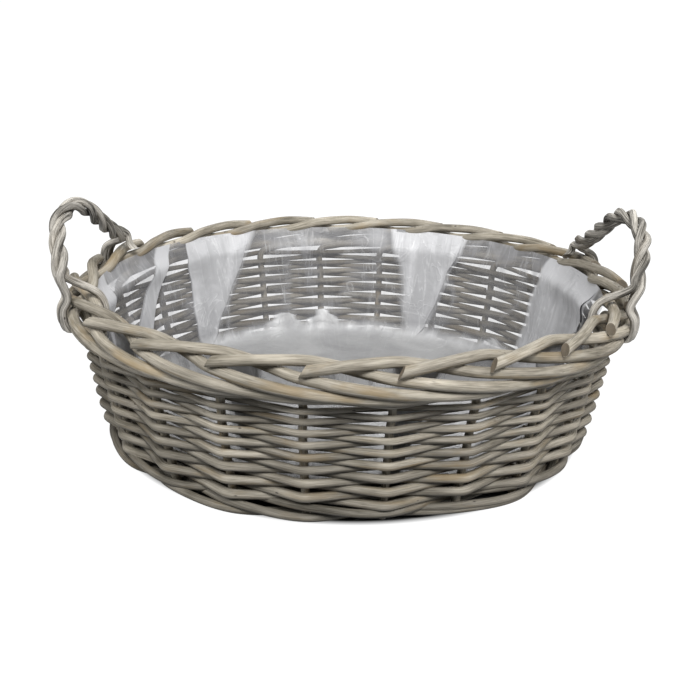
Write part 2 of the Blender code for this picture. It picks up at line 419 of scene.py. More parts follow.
def lengths_along(path):
    """The distance from the path's start to each of its points."""
    return np.concatenate([[0], np.cumsum(np.linalg.norm(np.diff(path, axis=0), axis=1))])


def smooth_path(keys, spacing=RING_SPACING):
    """Evenly spaced points on a Catmull-Rom curve through the keys.

    Between keys b and c, with a before and d after them, the point is
    (2b + (c - a)t + (2a - 5b + 4c - d)t^2 + (3b - a - 3c + d)t^3) / 2.
    """
    keys = np.asarray(keys, float)
    padded = np.vstack([keys[:1], keys, keys[-1:]])
    a, b, c, d = (padded[k : len(padded) - 3 + k, None] for k in range(4))
    t = (np.arange(PATH_STEPS) / PATH_STEPS)[None, :, None]
    fine = (2 * b + (c - a) * t + (2 * a - 5 * b + 4 * c - d) * t**2 + (3 * b - a - 3 * c + d) * t**3) / 2
    fine = np.vstack([fine.reshape(-1, 3), keys[-1:]])
    along = lengths_along(fine)
    even = np.linspace(0, along[-1], max(int(along[-1] / spacing), 2) + 1)
    return np.stack([np.interp(even, along, fine[:, k]) for k in range(3)], axis=1)


def wander(t, rng, size, waves=4):
    """A slow random wave: sines of 1, 2, 3 and more turns over t, each lower than the last."""
    total = np.zeros_like(t)
    for k in range(1, waves + 1):
        total += np.sin(math.tau * (k * t + rng.random())) / k
    return size * total / waves**0.5


def zigzag(x):
    """A rounded zigzag, 1 at even and -1 at odd numbers: arcsin(s cos(pi x)) / arcsin(s)."""
    return np.arcsin(ZIGZAG_SHARPNESS * np.cos(math.pi * x)) / math.asin(ZIGZAG_SHARPNESS)


def softened(path, reach):
    """A path whose corners are rounded: each point is the mean of its neighbours within reach."""
    width = 2 * reach + 1
    start, end = np.repeat(path[:1], reach, axis=0), np.repeat(path[-1:], reach, axis=0)
    summed = np.concatenate([np.zeros((1, 3)), np.cumsum(np.concatenate([start, path, end]), axis=0)])
    mean = (summed[width:] - summed[:-width]) / width
    mean[0], mean[-1] = path[0], path[-1]
    return mean


def carried_frame(path, start):
    """Directions along a path, outward from it and across it.

    The first outward direction is start. Each later one is the one before it without its part along
    the path, so that the frame turns no more than the path does.
    """
    tangent = unit_vectors(np.gradient(path, axis=0))
    outward = np.empty_like(path)
    latest = np.asarray(start, float)
    for k, direction in enumerate(tangent):
        latest = latest - direction * (latest @ direction)
        latest = latest / math.sqrt(latest @ latest)
        outward[k] = latest
    return tangent, outward, np.cross(tangent, outward)


def cut_face(ring, thickness, inwards):
    """A cut end's rings and its middle point: they shrink towards the middle and sink into the rod."""
    middle = ring.mean(axis=0)
    share = np.array(CUT_FACE_SHARES)[:, None, None]
    dish = np.array(CUT_DISH_SHARES)[:, None, None] * thickness * inwards
    return middle + (ring[None] - middle) * share + dish, middle + CUT_MIDDLE_SHARE * thickness * inwards


def rod(
    path, diameter, rng, start, taper=0.0, slants=PLAIN_SLANT_SHARES, cut_side=0.0, pressed=1.0, shade=0.0,
    lobes=0, sides=ROD_SIDES,
):
    """One willow rod, as a tube carried along a path and closed at both ends.

    A point of the tube is middle + r (cos a · outward + sin a · across). r is half the diameter, times
    1 + taper · (along - 1/2), plus a slow random swell. Near an end a point is moved back along the
    path by slant · r · (1 + cos(a - cut side)), which makes the oval face of a slanted cut. Pressed is
    the height of the section, across the outward direction, as a share of its depth. Shade lowers the
    rod's random lightness along its length: a plain shift for the stakes and the whole weave, and
    painted shade behind the stakes, near the foot and on the wale. Lobes is the number of split rods
    that show as ridges: r · (1 - groove · (1 - |cos(lobes · a / 2)|)).
    """
    tangent, outward, across = carried_frame(path, start)
    along = lengths_along(path)
    length = along[-1]
    diameter = np.broadcast_to(np.asarray(diameter, float), along.shape)
    thickness = diameter[0]
    turn = math.tau * np.arange(sides) / sides
    swell = 1 + taper * (along / length - 0.5) + wander(along / length * SWELL_WAVES, rng, SWELL_SHARE)
    radius = np.repeat((diameter / 2 * swell)[:, None], sides, axis=1)
    drift = wander(along / length * OVAL_WAVES, rng, OVAL_TURN)[:, None]
    radius = radius * (1 + OVAL_SHARE * np.cos(2 * turn[None] + drift))
    if lobes:
        ridge = np.abs(np.cos(lobes * (turn[None] + drift / LOBE_LAG) / 2))
        radius = radius * (1 - LOBE_GROOVE_SHARE * (1 - ridge))
    pressed = np.broadcast_to(np.asarray(pressed, float), along.shape)
    shift = np.zeros_like(radius)
    for slant, from_end, sign in ((slants[0], along, 1), (slants[1], length - along, -1)):
        reach = slant * thickness / 2 * (1 + np.cos(turn - cut_side))[None]
        zone = CUT_REACH_SHARE * max(slant, LEAST_SLANT_SHARE) * thickness
        shift += sign * reach * np.clip(1 - from_end[:, None] / zone, 0, 1)
    rings = (
        path[:, None]
        + (radius * np.cos(turn))[..., None] * outward[:, None]
        + (radius * pressed[:, None] * np.sin(turn))[..., None] * across[:, None]
        + shift[..., None] * tangent[:, None]
    )
    first_face, first_pole = cut_face(rings[0], thickness, tangent[0])
    last_face, last_pole = cut_face(rings[-1], thickness, -tangent[-1])
    extra = len(CUT_FACE_SHARES)
    # A random lightness for the rod, lowered along it by its shade, which on the weave and the wale is
    # painted shade
    tone_and_shade = rng.uniform(0, 1) - np.broadcast_to(np.asarray(shade, float), along.shape)
    cut = np.zeros(len(rings) + 2 * extra)
    cut[:extra] = 1
    cut[-extra:] = 1
    return {
        "grid": np.concatenate([first_face[::-1], rings, last_face]),
        "poles": (first_pole, last_pole),
        "along": np.concatenate([[along[0]] * extra, along, [along[-1]] * extra])
        + rng.uniform(0, BARK_LENGTH),
        "round": math.pi * thickness,
        "cut": cut,
        "tone_and_shade": np.concatenate([tone_and_shade[:1].repeat(extra), tone_and_shade, tone_and_shade[-1:].repeat(extra)]),
    }


def rod_mesh(name, rods):
    """Joins rods into one mesh, with their lightness and painted shade, and their cut ends, as attributes.

    Each rod is a grid of rings, whose first and last ring close on a pole. The map called along has
    the way round the rod in one direction and the length in the other, both in metres.
    """
    points, quads, triangles, quad_uv, triangle_uv, tones_and_shades, cuts = [], [], [], [], [], [], []
    base = 0
    for made in rods:
        count, sides = made["grid"].shape[:2]
        ring = np.arange(count)[:, None] * sides
        side = np.arange(sides)[None]
        after = (side + 1) % sides
        corners = np.stack(
            [ring[:-1] + side, ring[:-1] + after, ring[1:] + after, ring[1:] + side], axis=-1
        )
        quads.append(base + corners.reshape(-1, 4))
        width = made["round"] / sides
        low = np.broadcast_to(side * width, (count - 1, sides))
        high = np.broadcast_to((side + 1) * width, (count - 1, sides))
        near = np.broadcast_to(made["along"][:-1, None], (count - 1, sides))
        far = np.broadcast_to(made["along"][1:, None], (count - 1, sides))
        quad_uv.append(
            np.stack([low, near, high, near, high, far, low, far], axis=-1).reshape(-1, 2)
        )
        first_pole, last_pole = count * sides, count * sides + 1
        end = (count - 1) * sides
        start_fan = np.stack([after[0], side[0], np.full(sides, first_pole)], axis=-1)
        end_fan = np.stack([end + side[0], end + after[0], np.full(sides, last_pole)], axis=-1)
        triangles.append(base + np.concatenate([start_fan, end_fan]))
        for at in (made["along"][0], made["along"][-1]):
            fan = np.stack([side[0] * width, np.full(sides, at)], axis=-1)
            triangle_uv.append(np.repeat(fan, 3, axis=0))
        points.append(np.concatenate([made["grid"].reshape(-1, 3), np.array(made["poles"])]))
        tones_and_shades.append(np.concatenate([np.repeat(made["tone_and_shade"], sides), made["tone_and_shade"][[0, -1]]]))
        cuts.append(np.concatenate([np.repeat(made["cut"], sides), [1, 1]]))
        base += count * sides + 2
    return surface(
        name,
        np.concatenate(points),
        np.concatenate(quads),
        np.concatenate(triangles),
        np.concatenate(quad_uv + triangle_uv),
        {"tone_and_shade": np.concatenate(tones_and_shades), "cut": np.concatenate(cuts)},
    )


def surface(name, points, quads, triangles, uv, attributes):
    """A smooth mesh object from arrays of points, faces, corner coordinates and point attributes."""
    data = bpy.data.meshes.new(name)
    corners = np.concatenate([quads.ravel(), triangles.ravel()]).astype(np.int32)
    starts = np.concatenate(
        [np.arange(len(quads)) * 4, len(quads) * 4 + np.arange(len(triangles)) * 3]
    ).astype(np.int32)
    data.vertices.add(len(points))
    data.vertices.foreach_set("co", points.astype(np.float32).ravel())
    data.loops.add(len(corners))
    data.loops.foreach_set("vertex_index", corners)
    data.polygons.add(len(starts))
    data.polygons.foreach_set("loop_start", starts)
    data.update(calc_edges=True)
    data.uv_layers.new(name="along").data.foreach_set("uv", uv.astype(np.float32).ravel())
    for key, values in attributes.items():
        layer = data.attributes.new(key, "FLOAT", "POINT")
        layer.data.foreach_set("value", np.asarray(values, np.float32))
    data.validate()
    data.shade_smooth()
    data.set_sharp_from_angle(angle=SHARP_ANGLE)
    piece = bpy.data.objects.new(name, data)
    bpy.context.scene.collection.objects.link(piece)
    return piece


def dress(piece, finish, slot, *nodes):
    """Gives a piece its material and its body, and hides the frame's nodes that it stands for. The slot is
    not used.
    """
    piece.data.materials.append(finish)
    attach(piece, BODY)
    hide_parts(*nodes)


# Lines that the rods follow

UPRIGHT_POINTS = 5
BEND_STEPS = 2
# The slow waves that rows nearby share: size, turn a stake, shift and turn a metre of height
WAVER_SHARES = ((1.0, 0.61, 0.0, 40), (0.6, 1.37, 1.3, 25))


def outward_at(angle):
    """The direction away from the tray's middle at an angle from the front."""
    return np.array([math.sin(angle), -math.cos(angle), 0.0])


def wall_radius(wall, border, z):
    """The stakes' middle line: foot + (top - foot) t + bulge · 4 t (1 - t), where t = z / border height."""
    t = np.asarray(z) / border.height
    return wall.foot_radius + (wall.top_radius - wall.foot_radius) * t + wall.bulge * 4 * t * (1 - t)


def middle_height(name):
    """The height of the middle of a CAD node's box."""
    low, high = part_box(name)
    return (low.z + high.z) / 2


def stake_angle(index):
    """The angle of a stake: the first and the last stand half a step either side of the front."""
    return (index + 0.5) * STEP


def stake_keys(wall, border, index):
    """A stake's upright part and, after it, its run through the border to its cut tip."""
    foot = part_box(f"stake_{index + 1:02d}")[0].z
    z = np.linspace(foot, wall.stake_top, UPRIGHT_POINTS)
    upright = place(wall_radius(wall, border, z), stake_angle(index), z)
    interval, out, up = np.array(BORDER_RUN_SHARES[::-1]).T
    run = place(
        border.radius + border.size * out,
        stake_angle(index) - (BORDER_SPAN - interval) * STEP,
        border.height + border.size * up,
    )
    return np.vstack([upright, run])


def woven_path(corners, x, first):
    """Straight runs from stake to stake: the point between corners n and n + 1 at the share x - n."""
    n = np.clip(np.floor(x - first).astype(int), 0, len(corners) - 2)
    share = (x - first - n)[:, None]
    return softened(corners[n] + (corners[n + 1] - corners[n]) * share, BEND_STEPS)


def row_waver(x, weave, z):
    """How far a row strays at a stake number x and height z: waver · sum of s sin(w x + shift + v z)."""
    waves = (size * np.sin(turn * x + shift + rise * z) for size, turn, shift, rise in WAVER_SHARES)
    return weave.waver * sum(waves)


# Shader nodes

NODE_SPACING = 190
NOISE_MIDDLE = 0.5

# The noises of the bark: cells a metre round and along the rod, then detail, roughness and distortion
STREAK_NOISE = ((1700, 55, 1), 5, 0.62)
PATCH_NOISE = ((120, 24, 1), 3)
STAIN_NOISE = ((70, 17, 1), 4, 0.6, 0.4)
CRACK_NOISE = ((620, 14, 1), 2)
BUD_CELLS = (165, 90, 1)

# What the bark's noises turn into: a range of the noise, and the range that it is spread over
STAIN_RANGE = (0.53, 0.68, 0.0, 0.75)
CRACKED_RANGE = (0.45, 0.6)
SCAR_RANGE = (0.05, 0.12, 1.0, 0.0)
HALO_RANGE = (0.12, 0.34, 0.55, 0.0)
WASH_RANGE = (-0.13, 0.13)
TONE_AND_SHADE_RANGE = (-1.0, 1.0, 0.35, 1.18)
CUT_GRAIN_RANGE = (0.3, 0.7)
BARK_ROUGHNESS_RANGE = (0.35, 0.65, 0.7, 0.5)
CRACK_WIDTH = 0.012
BUD_RARITY = 0.75
CRACK_DARKNESS = 0.55
SCAR_DARKNESS = 0.9
# The part of each in the bark's relief, beside the streaks'
PATCH_HEIGHT = 0.5
CRACK_HEIGHT = -0.6
SCAR_HEIGHT = -0.8
HALO_HEIGHT = 0.8

# The two kinds of willow: lightness of the bark and of the wash, how far both are drawn to grey, the
# wash's contrast and the strength of the relief
PLAIN_WILLOW_SHARES = (1.0, 1.0, 0.0, 1.0, 0.55)
HANDLE_WILLOW_SHARES = (0.70, 1.35, 0.4, 2.2, 0.9)
BARK_RELIEF = 0.0004
BARK_GLOSS = 0.35

# The noises of the film, on places in the tray or on the way round the wall and up it
HAZE_NOISE = ((26, 26, 26), 4, 0.6, 0.6)
FINE_NOISE = ((150, 150, 150), 3, 0.6, 1.2)
CREASE_NOISE = ((34, 34, 34), 2, 0.5, 1.0)
FALL_NOISE = ((110, 9, 1), 3, 0.5, 0.5)
BROAD_NOISE = ((42, 20, 1), 3, 0.55, 1.0)
# Thin lines down the wall, drawn as painted highlights on the pleats' edges
EDGE_HIGHLIGHT_NOISE = ((80, 9, 1), 2, 0.5, 0.8)

# What the film's noises turn into, in the same way
# The first three set how strong the painted highlights on the creases and edges are, and how they fade on
# the floor
CREASE_HIGHLIGHT_RANGE = (0.45, 0.6)
PAINTED_HIGHLIGHT_RANGE = (0.35, 0.6, 0.2, 1.0)
LAID_HIGHLIGHT_RANGE = (0.0, 1.0, 1.0, 0.35)
STREAKED_RANGE = (0.35, 0.65, 0.85, 1.15)
FLAT_RANGE = (0.3, 0.7, 0.9, 1.05)
BROAD_RANGE = (0.48, 0.70, 0.0, 0.30)
FOLDED_RANGE = (0.15, 0.5)
CLOUD_RANGE = (0.36, 0.64)
FILM_ROUGHNESS_RANGE = (0.3, 0.7, 0.34, 0.52)
WHOLE_RANGE = (0.0, 1.0, 0.0, 1.0)
CREASE_WIDTH = 0.012
EDGE_HIGHLIGHT_WIDTH = 0.014
CLEAR_ALPHA = 0.26
# Painted highlights: the alpha that they add, the share of their grey in the colour, and that grey
PAINTED_HIGHLIGHT_ALPHA = 0.11
PAINTED_HIGHLIGHT_TINT = 0.25
PAINTED_HIGHLIGHT_COLOUR = (0.8, 0.8, 0.8, 1)
CLOUD_COLOUR = (0.74, 0.74, 0.75, 1)
WHITE = (1, 1, 1, 1)
# The part of each in the film's relief, beside the haze's
FINE_HEIGHT = 0.35
CREASE_HEIGHT = 0.3
FALL_HEIGHT = 0.25
FILM_BUMP = 0.35
FILM_RELIEF = 0.002
FILM_GLOSS = 0.5


def node(tree, kind, inputs=None, **settings):
    """Adds a node with its settings, and gives each named input a value or a link."""
    made = tree.nodes.new(kind)
    made.location = (NODE_SPACING * len(tree.nodes), 0)
    for key, value in settings.items():
        setattr(made, key, value)
    for key, value in (inputs or {}).items():
        if isinstance(value, bpy.types.NodeSocket):
            tree.links.new(value, made.inputs[key])
        else:
            made.inputs[key].default_value = value
    return made


def maths(tree, operation, first, second=0.0):
    """One Math node's result."""
    return node(tree, "ShaderNodeMath", {0: first, 1: second}, operation=operation).outputs[0]


def times(tree, first, second):
    """Two values multiplied."""
    return maths(tree, "MULTIPLY", first, second)


def summed(tree, first, *others):
    """A value, plus each of the others times its share."""
    for value, share in others:
        first = maths(tree, "ADD", first, times(tree, value, share))
    return first


def remap(tree, value, low, high, to_low=0.0, to_high=1.0):
    """A value from one range to another, held at the ends."""
    made = node(tree, "ShaderNodeMapRange", {0: value, 1: low, 2: high, 3: to_low, 4: to_high})
    return made.outputs[0]


def mix(tree, factor, first, second, blend="MIX"):
    """Two colours mixed by a factor."""
    made = node(
        tree, "ShaderNodeMix", {0: factor, 6: first, 7: second}, data_type="RGBA", blend_type=blend
    )
    return made.outputs[2]


def scaled(tree, coordinates, cells):
    """Coordinates that count a pattern's cells, so many a metre in each direction."""
    return node(tree, "ShaderNodeVectorMath", {0: coordinates, 1: cells}, operation="MULTIPLY").outputs[0]


def noise(tree, coordinates, cells, detail, roughness=0.55, distortion=0.0):
    """Noise with so many cells a metre in each direction."""
    made = node(
        tree,
        "ShaderNodeTexNoise",
        {"Vector": scaled(tree, coordinates, cells), "Scale": 1.0, "Detail": detail, "Roughness": roughness,
         "Distortion": distortion},
    )
    return made.outputs["Fac"]


def thin_lines(tree, value, width):
    """Lines where a noise crosses its middle: 1 there, and 0 where it is further off than the width."""
    off = maths(tree, "ABSOLUTE", maths(tree, "SUBTRACT", value, NOISE_MIDDLE))
    return remap(tree, off, 0.0, width, 1.0, 0.0)


def new_group(name, inputs, outputs):
    """An empty shader node group with its sockets, and its input and output nodes."""
    tree = bpy.data.node_groups.new(name, "ShaderNodeTree")
    for label, kind, value in inputs:
        socket = tree.interface.new_socket(name=label, in_out="INPUT", socket_type=kind)
        if value is not None:
            socket.default_value = value
    for label, kind in outputs:
        tree.interface.new_socket(name=label, in_out="OUTPUT", socket_type=kind)
    return tree, node(tree, "NodeGroupInput"), tree.nodes.new("NodeGroupOutput")


def link_outputs(tree, leaving, values):
    """Links the results of a group to its output sockets."""
    for label, value in values.items():
        tree.links.new(value, leaving.inputs[label])


def willow_grain_group():
    """Grain, wash, stains, bud scars, cracks and cut ends of a rod.

    Coordinates are the way round the rod and along it. The wash lies where streaks and patches are
    high, and round a bud's scar. The lightness input darkens or lightens the rod along its length: a
    random lightness for each rod, with painted shade where a woven rod lies behind a stake, near the
    foot and on the wale. Cut shows bare wood.
    """
    known = bpy.data.node_groups.get("willow_grain")
    if known:
        return known
    tree, entering, leaving = new_group(
        "willow_grain",
        (
            ("Coordinates", "NodeSocketVector", None),
            ("Tone_and_shade", "NodeSocketFloat", 0.5),
            ("Cut", "NodeSocketFloat", 0.0),
            ("Bark", "NodeSocketColor", (0.2, 0.2, 0.2, 1)),
            ("Wash", "NodeSocketColor", (0.5, 0.5, 0.5, 1)),
            ("Stain", "NodeSocketColor", (0.3, 0.2, 0.1, 1)),
            ("Dark", "NodeSocketColor", (0, 0, 0, 1)),
            ("Cut wood", "NodeSocketColor", (0.5, 0.4, 0.3, 1)),
            ("Contrast", "NodeSocketFloat", 1.0),
        ),
        (("Color", "NodeSocketColor"), ("Roughness", "NodeSocketFloat"), ("Height", "NodeSocketFloat")),
    )
    given = entering.outputs
    where = given["Coordinates"]
    streak = noise(tree, where, *STREAK_NOISE)
    patch = noise(tree, where, *PATCH_NOISE)
    stain = remap(tree, noise(tree, where, *STAIN_NOISE), *STAIN_RANGE)
    crack = thin_lines(tree, noise(tree, where, *CRACK_NOISE), CRACK_WIDTH)
    crack = times(tree, crack, remap(tree, patch, *CRACKED_RANGE))
    buds = node(tree, "ShaderNodeTexVoronoi", {"Vector": scaled(tree, where, BUD_CELLS), "Scale": 1.0})
    chosen = node(tree, "ShaderNodeSeparateColor", {"Color": buds.outputs["Color"]}).outputs[0]
    chosen = maths(tree, "GREATER_THAN", chosen, BUD_RARITY)
    scar = times(tree, remap(tree, buds.outputs["Distance"], *SCAR_RANGE), chosen)
    halo = times(tree, remap(tree, buds.outputs["Distance"], *HALO_RANGE), chosen)
    mean = maths(tree, "DIVIDE", maths(tree, "ADD", streak, patch), 2.0)
    spread = times(tree, maths(tree, "SUBTRACT", mean, NOISE_MIDDLE), given["Contrast"])
    washed = maths(tree, "MAXIMUM", remap(tree, spread, *WASH_RANGE), halo)
    colour = mix(tree, washed, given["Bark"], given["Wash"])
    colour = mix(tree, stain, colour, given["Stain"])
    colour = mix(tree, times(tree, crack, CRACK_DARKNESS), colour, given["Dark"])
    colour = mix(tree, times(tree, scar, SCAR_DARKNESS), colour, given["Dark"])
    # The rod's random lightness and its painted shade multiply the colour
    colour = mix(tree, 1.0, colour, remap(tree, given["Tone_and_shade"], *TONE_AND_SHADE_RANGE), "MULTIPLY")
    wood = mix(tree, remap(tree, streak, *CUT_GRAIN_RANGE), given["Cut wood"], given["Bark"])
    relief = ((patch, PATCH_HEIGHT), (crack, CRACK_HEIGHT), (scar, SCAR_HEIGHT), (halo, HALO_HEIGHT))
    values = {
        "Color": mix(tree, given["Cut"], colour, wood),
        "Roughness": remap(tree, mean, *BARK_ROUGHNESS_RANGE),
        "Height": summed(tree, streak, *relief),
    }
    link_outputs(tree, leaving, values)
    return tree


def film_marks_group():
    """Haze, clouds and streaks of the clear film, and painted highlights on its creases.

    Coordinates are places in the tray, and Fall is the way round the wall and up it. Milk is how far
    the film is doubled or clouded, and Laid is how far it lies on the floor. Alpha is Clear, plus the
    milk with streaks that run down the wall or clouds on the floor, plus the creases. Where a slow
    noise crosses its middle there is a crease. The creases and thin lines down the wall are drawn
    lighter and less clear as painted highlights, fainter where the film lies on the floor.
    """
    known = bpy.data.node_groups.get("film_marks")
    if known:
        return known
    tree, entering, leaving = new_group(
        "film_marks",
        (
            ("Coordinates", "NodeSocketVector", None),
            ("Fall", "NodeSocketVector", None),
            ("Milk", "NodeSocketFloat", 0.0),
            ("Clear", "NodeSocketFloat", CLEAR_ALPHA),
            ("Laid", "NodeSocketFloat", 0.0),
            ("Veil colour", "NodeSocketColor", (0.3, 0.3, 0.3, 1)),
            ("Wall colour", "NodeSocketColor", (0.8, 0.8, 0.8, 1)),
            ("Floor colour", "NodeSocketColor", (0.4, 0.4, 0.4, 1)),
        ),
        (
            ("Color", "NodeSocketColor"),
            ("Alpha", "NodeSocketFloat"),
            ("Roughness", "NodeSocketFloat"),
            ("Height", "NodeSocketFloat"),
        ),
    )
    given = entering.outputs
    where, fall = given["Coordinates"], given["Fall"]
    haze = noise(tree, where, *HAZE_NOISE)
    fine = noise(tree, where, *FINE_NOISE)
    streak = noise(tree, fall, *FALL_NOISE)
    broad = noise(tree, fall, *BROAD_NOISE)
    crease = thin_lines(tree, noise(tree, where, *CREASE_NOISE), CREASE_WIDTH)
    edge = thin_lines(tree, noise(tree, fall, *EDGE_HIGHLIGHT_NOISE), EDGE_HIGHLIGHT_WIDTH)
    # Painted highlights: the creases and thin lines down the wall are drawn lighter and less clear
    marks = maths(tree, "MAXIMUM", times(tree, crease, remap(tree, haze, *CREASE_HIGHLIGHT_RANGE)), edge)
    marks = times(tree, marks, remap(tree, fine, *PAINTED_HIGHLIGHT_RANGE))
    marks = times(tree, marks, remap(tree, given["Laid"], *LAID_HIGHLIGHT_RANGE))
    streaked = times(tree, remap(tree, streak, *STREAKED_RANGE), remap(tree, broad, *STREAKED_RANGE))
    flat = remap(tree, haze, *FLAT_RANGE)
    share = node(tree, "ShaderNodeMix", {0: given["Laid"], 2: streaked, 3: flat}, data_type="FLOAT")
    alpha = summed(tree, given["Clear"], (given["Milk"], share.outputs[0]), (marks, PAINTED_HIGHLIGHT_ALPHA))
    alpha = maths(tree, "ADD", alpha, remap(tree, broad, *BROAD_RANGE))
    folded = remap(tree, given["Milk"], *FOLDED_RANGE)
    colour = mix(tree, folded, given["Veil colour"], given["Wall colour"])
    clouded = mix(tree, remap(tree, haze, *CLOUD_RANGE), CLOUD_COLOUR, WHITE)
    laid = mix(tree, 1.0, given["Floor colour"], clouded, "MULTIPLY")
    colour = mix(tree, given["Laid"], colour, laid)
    values = {
        "Color": mix(tree, times(tree, marks, PAINTED_HIGHLIGHT_TINT), colour, PAINTED_HIGHLIGHT_COLOUR),
        "Alpha": remap(tree, alpha, *WHOLE_RANGE),
        "Roughness": remap(tree, fine, *FILM_ROUGHNESS_RANGE),
        "Height": summed(tree, haze, (fine, FINE_HEIGHT), (crease, CREASE_HEIGHT), (streak, FALL_HEIGHT)),
    }
    link_outputs(tree, leaving, values)
    return tree


def empty_material(name):
    """A new material with only a Principled BSDF and its output."""
    made = bpy.data.materials.new(name)
    made.use_nodes = True
    return made, made.node_tree, made.node_tree.nodes["Principled BSDF"]


def link_surface(tree, shader, marks, bump, depth, gloss):
    """Links a group's colour, roughness and height to the shader, and sets the shader's gloss."""
    relief = {"Height": marks.outputs["Height"], "Strength": bump, "Distance": depth}
    tree.links.new(marks.outputs["Color"], shader.inputs["Base Color"])
    tree.links.new(marks.outputs["Roughness"], shader.inputs["Roughness"])
    tree.links.new(node(tree, "ShaderNodeBump", relief).outputs[0], shader.inputs["Normal"])
    shader.inputs["Specular IOR Level"].default_value = gloss


def attribute(tree, name):
    """The value of a point attribute."""
    return node(tree, "ShaderNodeAttribute", attribute_name=name).outputs["Fac"]


def greyed(colour, share, grey):
    """A colour made lighter or darker by a share and drawn towards its own grey, with full opacity."""
    middle = sum(colour) / len(colour)
    return (*(share * (c + (middle - c) * grey) for c in colour), 1)


def willow_material(name, finish, shares):
    """Willow bark, whose shares change the bark and the wash for one kind of piece."""
    known = bpy.data.materials.get(name)
    if known:
        return known
    bark_share, wash_share, grey, contrast, bump = shares
    made, tree, shader = empty_material(name)
    grain = node(tree, "ShaderNodeGroup", node_tree=willow_grain_group())
    tree.links.new(node(tree, "ShaderNodeUVMap", uv_map="along").outputs[0], grain.inputs["Coordinates"])
    for label, source in (("Tone_and_shade", "tone_and_shade"), ("Cut", "cut")):
        tree.links.new(attribute(tree, source), grain.inputs[label])
    grain.inputs["Bark"].default_value = greyed(finish.bark, bark_share, grey)
    grain.inputs["Wash"].default_value = greyed(finish.wash, wash_share, grey)
    grain.inputs["Stain"].default_value = greyed(finish.stain, bark_share, grey)
    grain.inputs["Dark"].default_value = (*finish.dark, 1)
    grain.inputs["Cut wood"].default_value = (*finish.cut_wood, 1)
    grain.inputs["Contrast"].default_value = contrast
    link_surface(tree, shader, grain, bump, BARK_RELIEF, BARK_GLOSS)
    return made


def film_material(finish):
    """Clear film: see-through by its alpha, which the haze and the folds raise."""
    known = bpy.data.materials.get("clear_lining_film")
    if known:
        return known
    made, tree, shader = empty_material("clear_lining_film")
    marks = node(tree, "ShaderNodeGroup", node_tree=film_marks_group())
    tree.links.new(node(tree, "ShaderNodeTexCoord").outputs["Object"], marks.inputs["Coordinates"])
    fall = node(tree, "ShaderNodeCombineXYZ", {0: attribute(tree, "across"), 1: attribute(tree, "fall")})
    tree.links.new(fall.outputs[0], marks.inputs["Fall"])
    for label, source in (("Milk", "milk"), ("Laid", "laid")):
        tree.links.new(attribute(tree, source), marks.inputs[label])
    marks.inputs["Veil colour"].default_value = (*finish.film_veil, 1)
    marks.inputs["Wall colour"].default_value = (*finish.film, 1)
    marks.inputs["Floor colour"].default_value = (*finish.film_floor, 1)
    link_surface(tree, shader, marks, FILM_BUMP, FILM_RELIEF, FILM_GLOSS)
    tree.links.new(marks.outputs["Alpha"], shader.inputs["Alpha"])
    return made


def plain_willow(finish):
    """The willow of the wall, the border and the base."""
    return willow_material("washed_willow", finish, PLAIN_WILLOW_SHARES)


def handle_willow(finish):
    """The split willow of the handles, greyer and with more contrast."""
    return willow_material("split_handle_willow", finish, HANDLE_WILLOW_SHARES)


# The pieces

# How far the rods' thickness strays and how much they taper, as shares of their thickness
STAKE_THICKNESS_SHARES = (0.95, 1.03)
WEAVER_THICKNESS_SHARES = (0.96, 1.03)
STRAND_THICKNESS_SHARES = (0.95, 1.04)
STAKE_TAPER = -0.05
WOVEN_TAPER = 0.06

# The cut ends of the stakes and the strands: slants, and the side that the stakes are cut on
FOOT_SLANT_SHARE = 0.2
TIP_SLANT_SHARES = (1.0, 1.4)
TIP_CUT_SIDES = (2.3, 2.6)
STRAND_SLANT_SHARES = (0.3, 1.2)

# How dark the rods are: a shift for the stakes and for all the weave, then painted shade on the
# weave behind a stake and near the foot, and on the wale, where the rods lie in shadow
STAKE_SHADE = -0.3
WEAVE_SHADE = 0.10
PAINTED_SHADE_BEHIND_STAKE = 0.6
PAINTED_FOOT_SHADE = 0.5
PAINTED_FOOT_SHADE_POWER = 3
PAINTED_WALE_SHADE = 0.9

# A row of the weave: where its rods start and end and how far the next row's are shifted, in stakes,
# then the spare room in front of a stake, and how far a hand strays at each stake
ROW_JOINS = (0, 8, 14, STAKES)
ROW_SHIFT = 6
STEPS_A_STAKE = 30
FRONT_ROOM = 0.0004
ROD_END_GAP = 0.0008
HAND_WAVER = 0.00018
TIGHT_POWER = 1.5

# The wale: stakes from one rod's start to the next, how far the upper rods are lifted, and the least
# height of a rod as a share of its thickness
WALE_SHIFT = 7
WALE_LIFT = 0.0008
WALE_SEAT_SHARE = 0.56

# Steps of the floor's rods
STEPS_A_RAY = 12

# A strand: how its turns and its distance from the rope's middle stray, and its rings. One point of the
# helix in so many is a key of its line, without the first and the last few
ROPE_WAVES = 2
ROPE_TURN = 0.10
LOOSE_WAVES = 3
LOOSE_SHARE = 0.05
STRAND_SPACING = 0.6 * RING_SPACING
HELIX_POINTS_A_KEY = 3
HELIX_POINTS_LEFT_OUT = 2


def end_gap(wall):
    """The gap between two rods that meet behind a stake, from the stake's middle, in stakes."""
    return ROD_END_GAP / (wall.foot_radius * STEP)


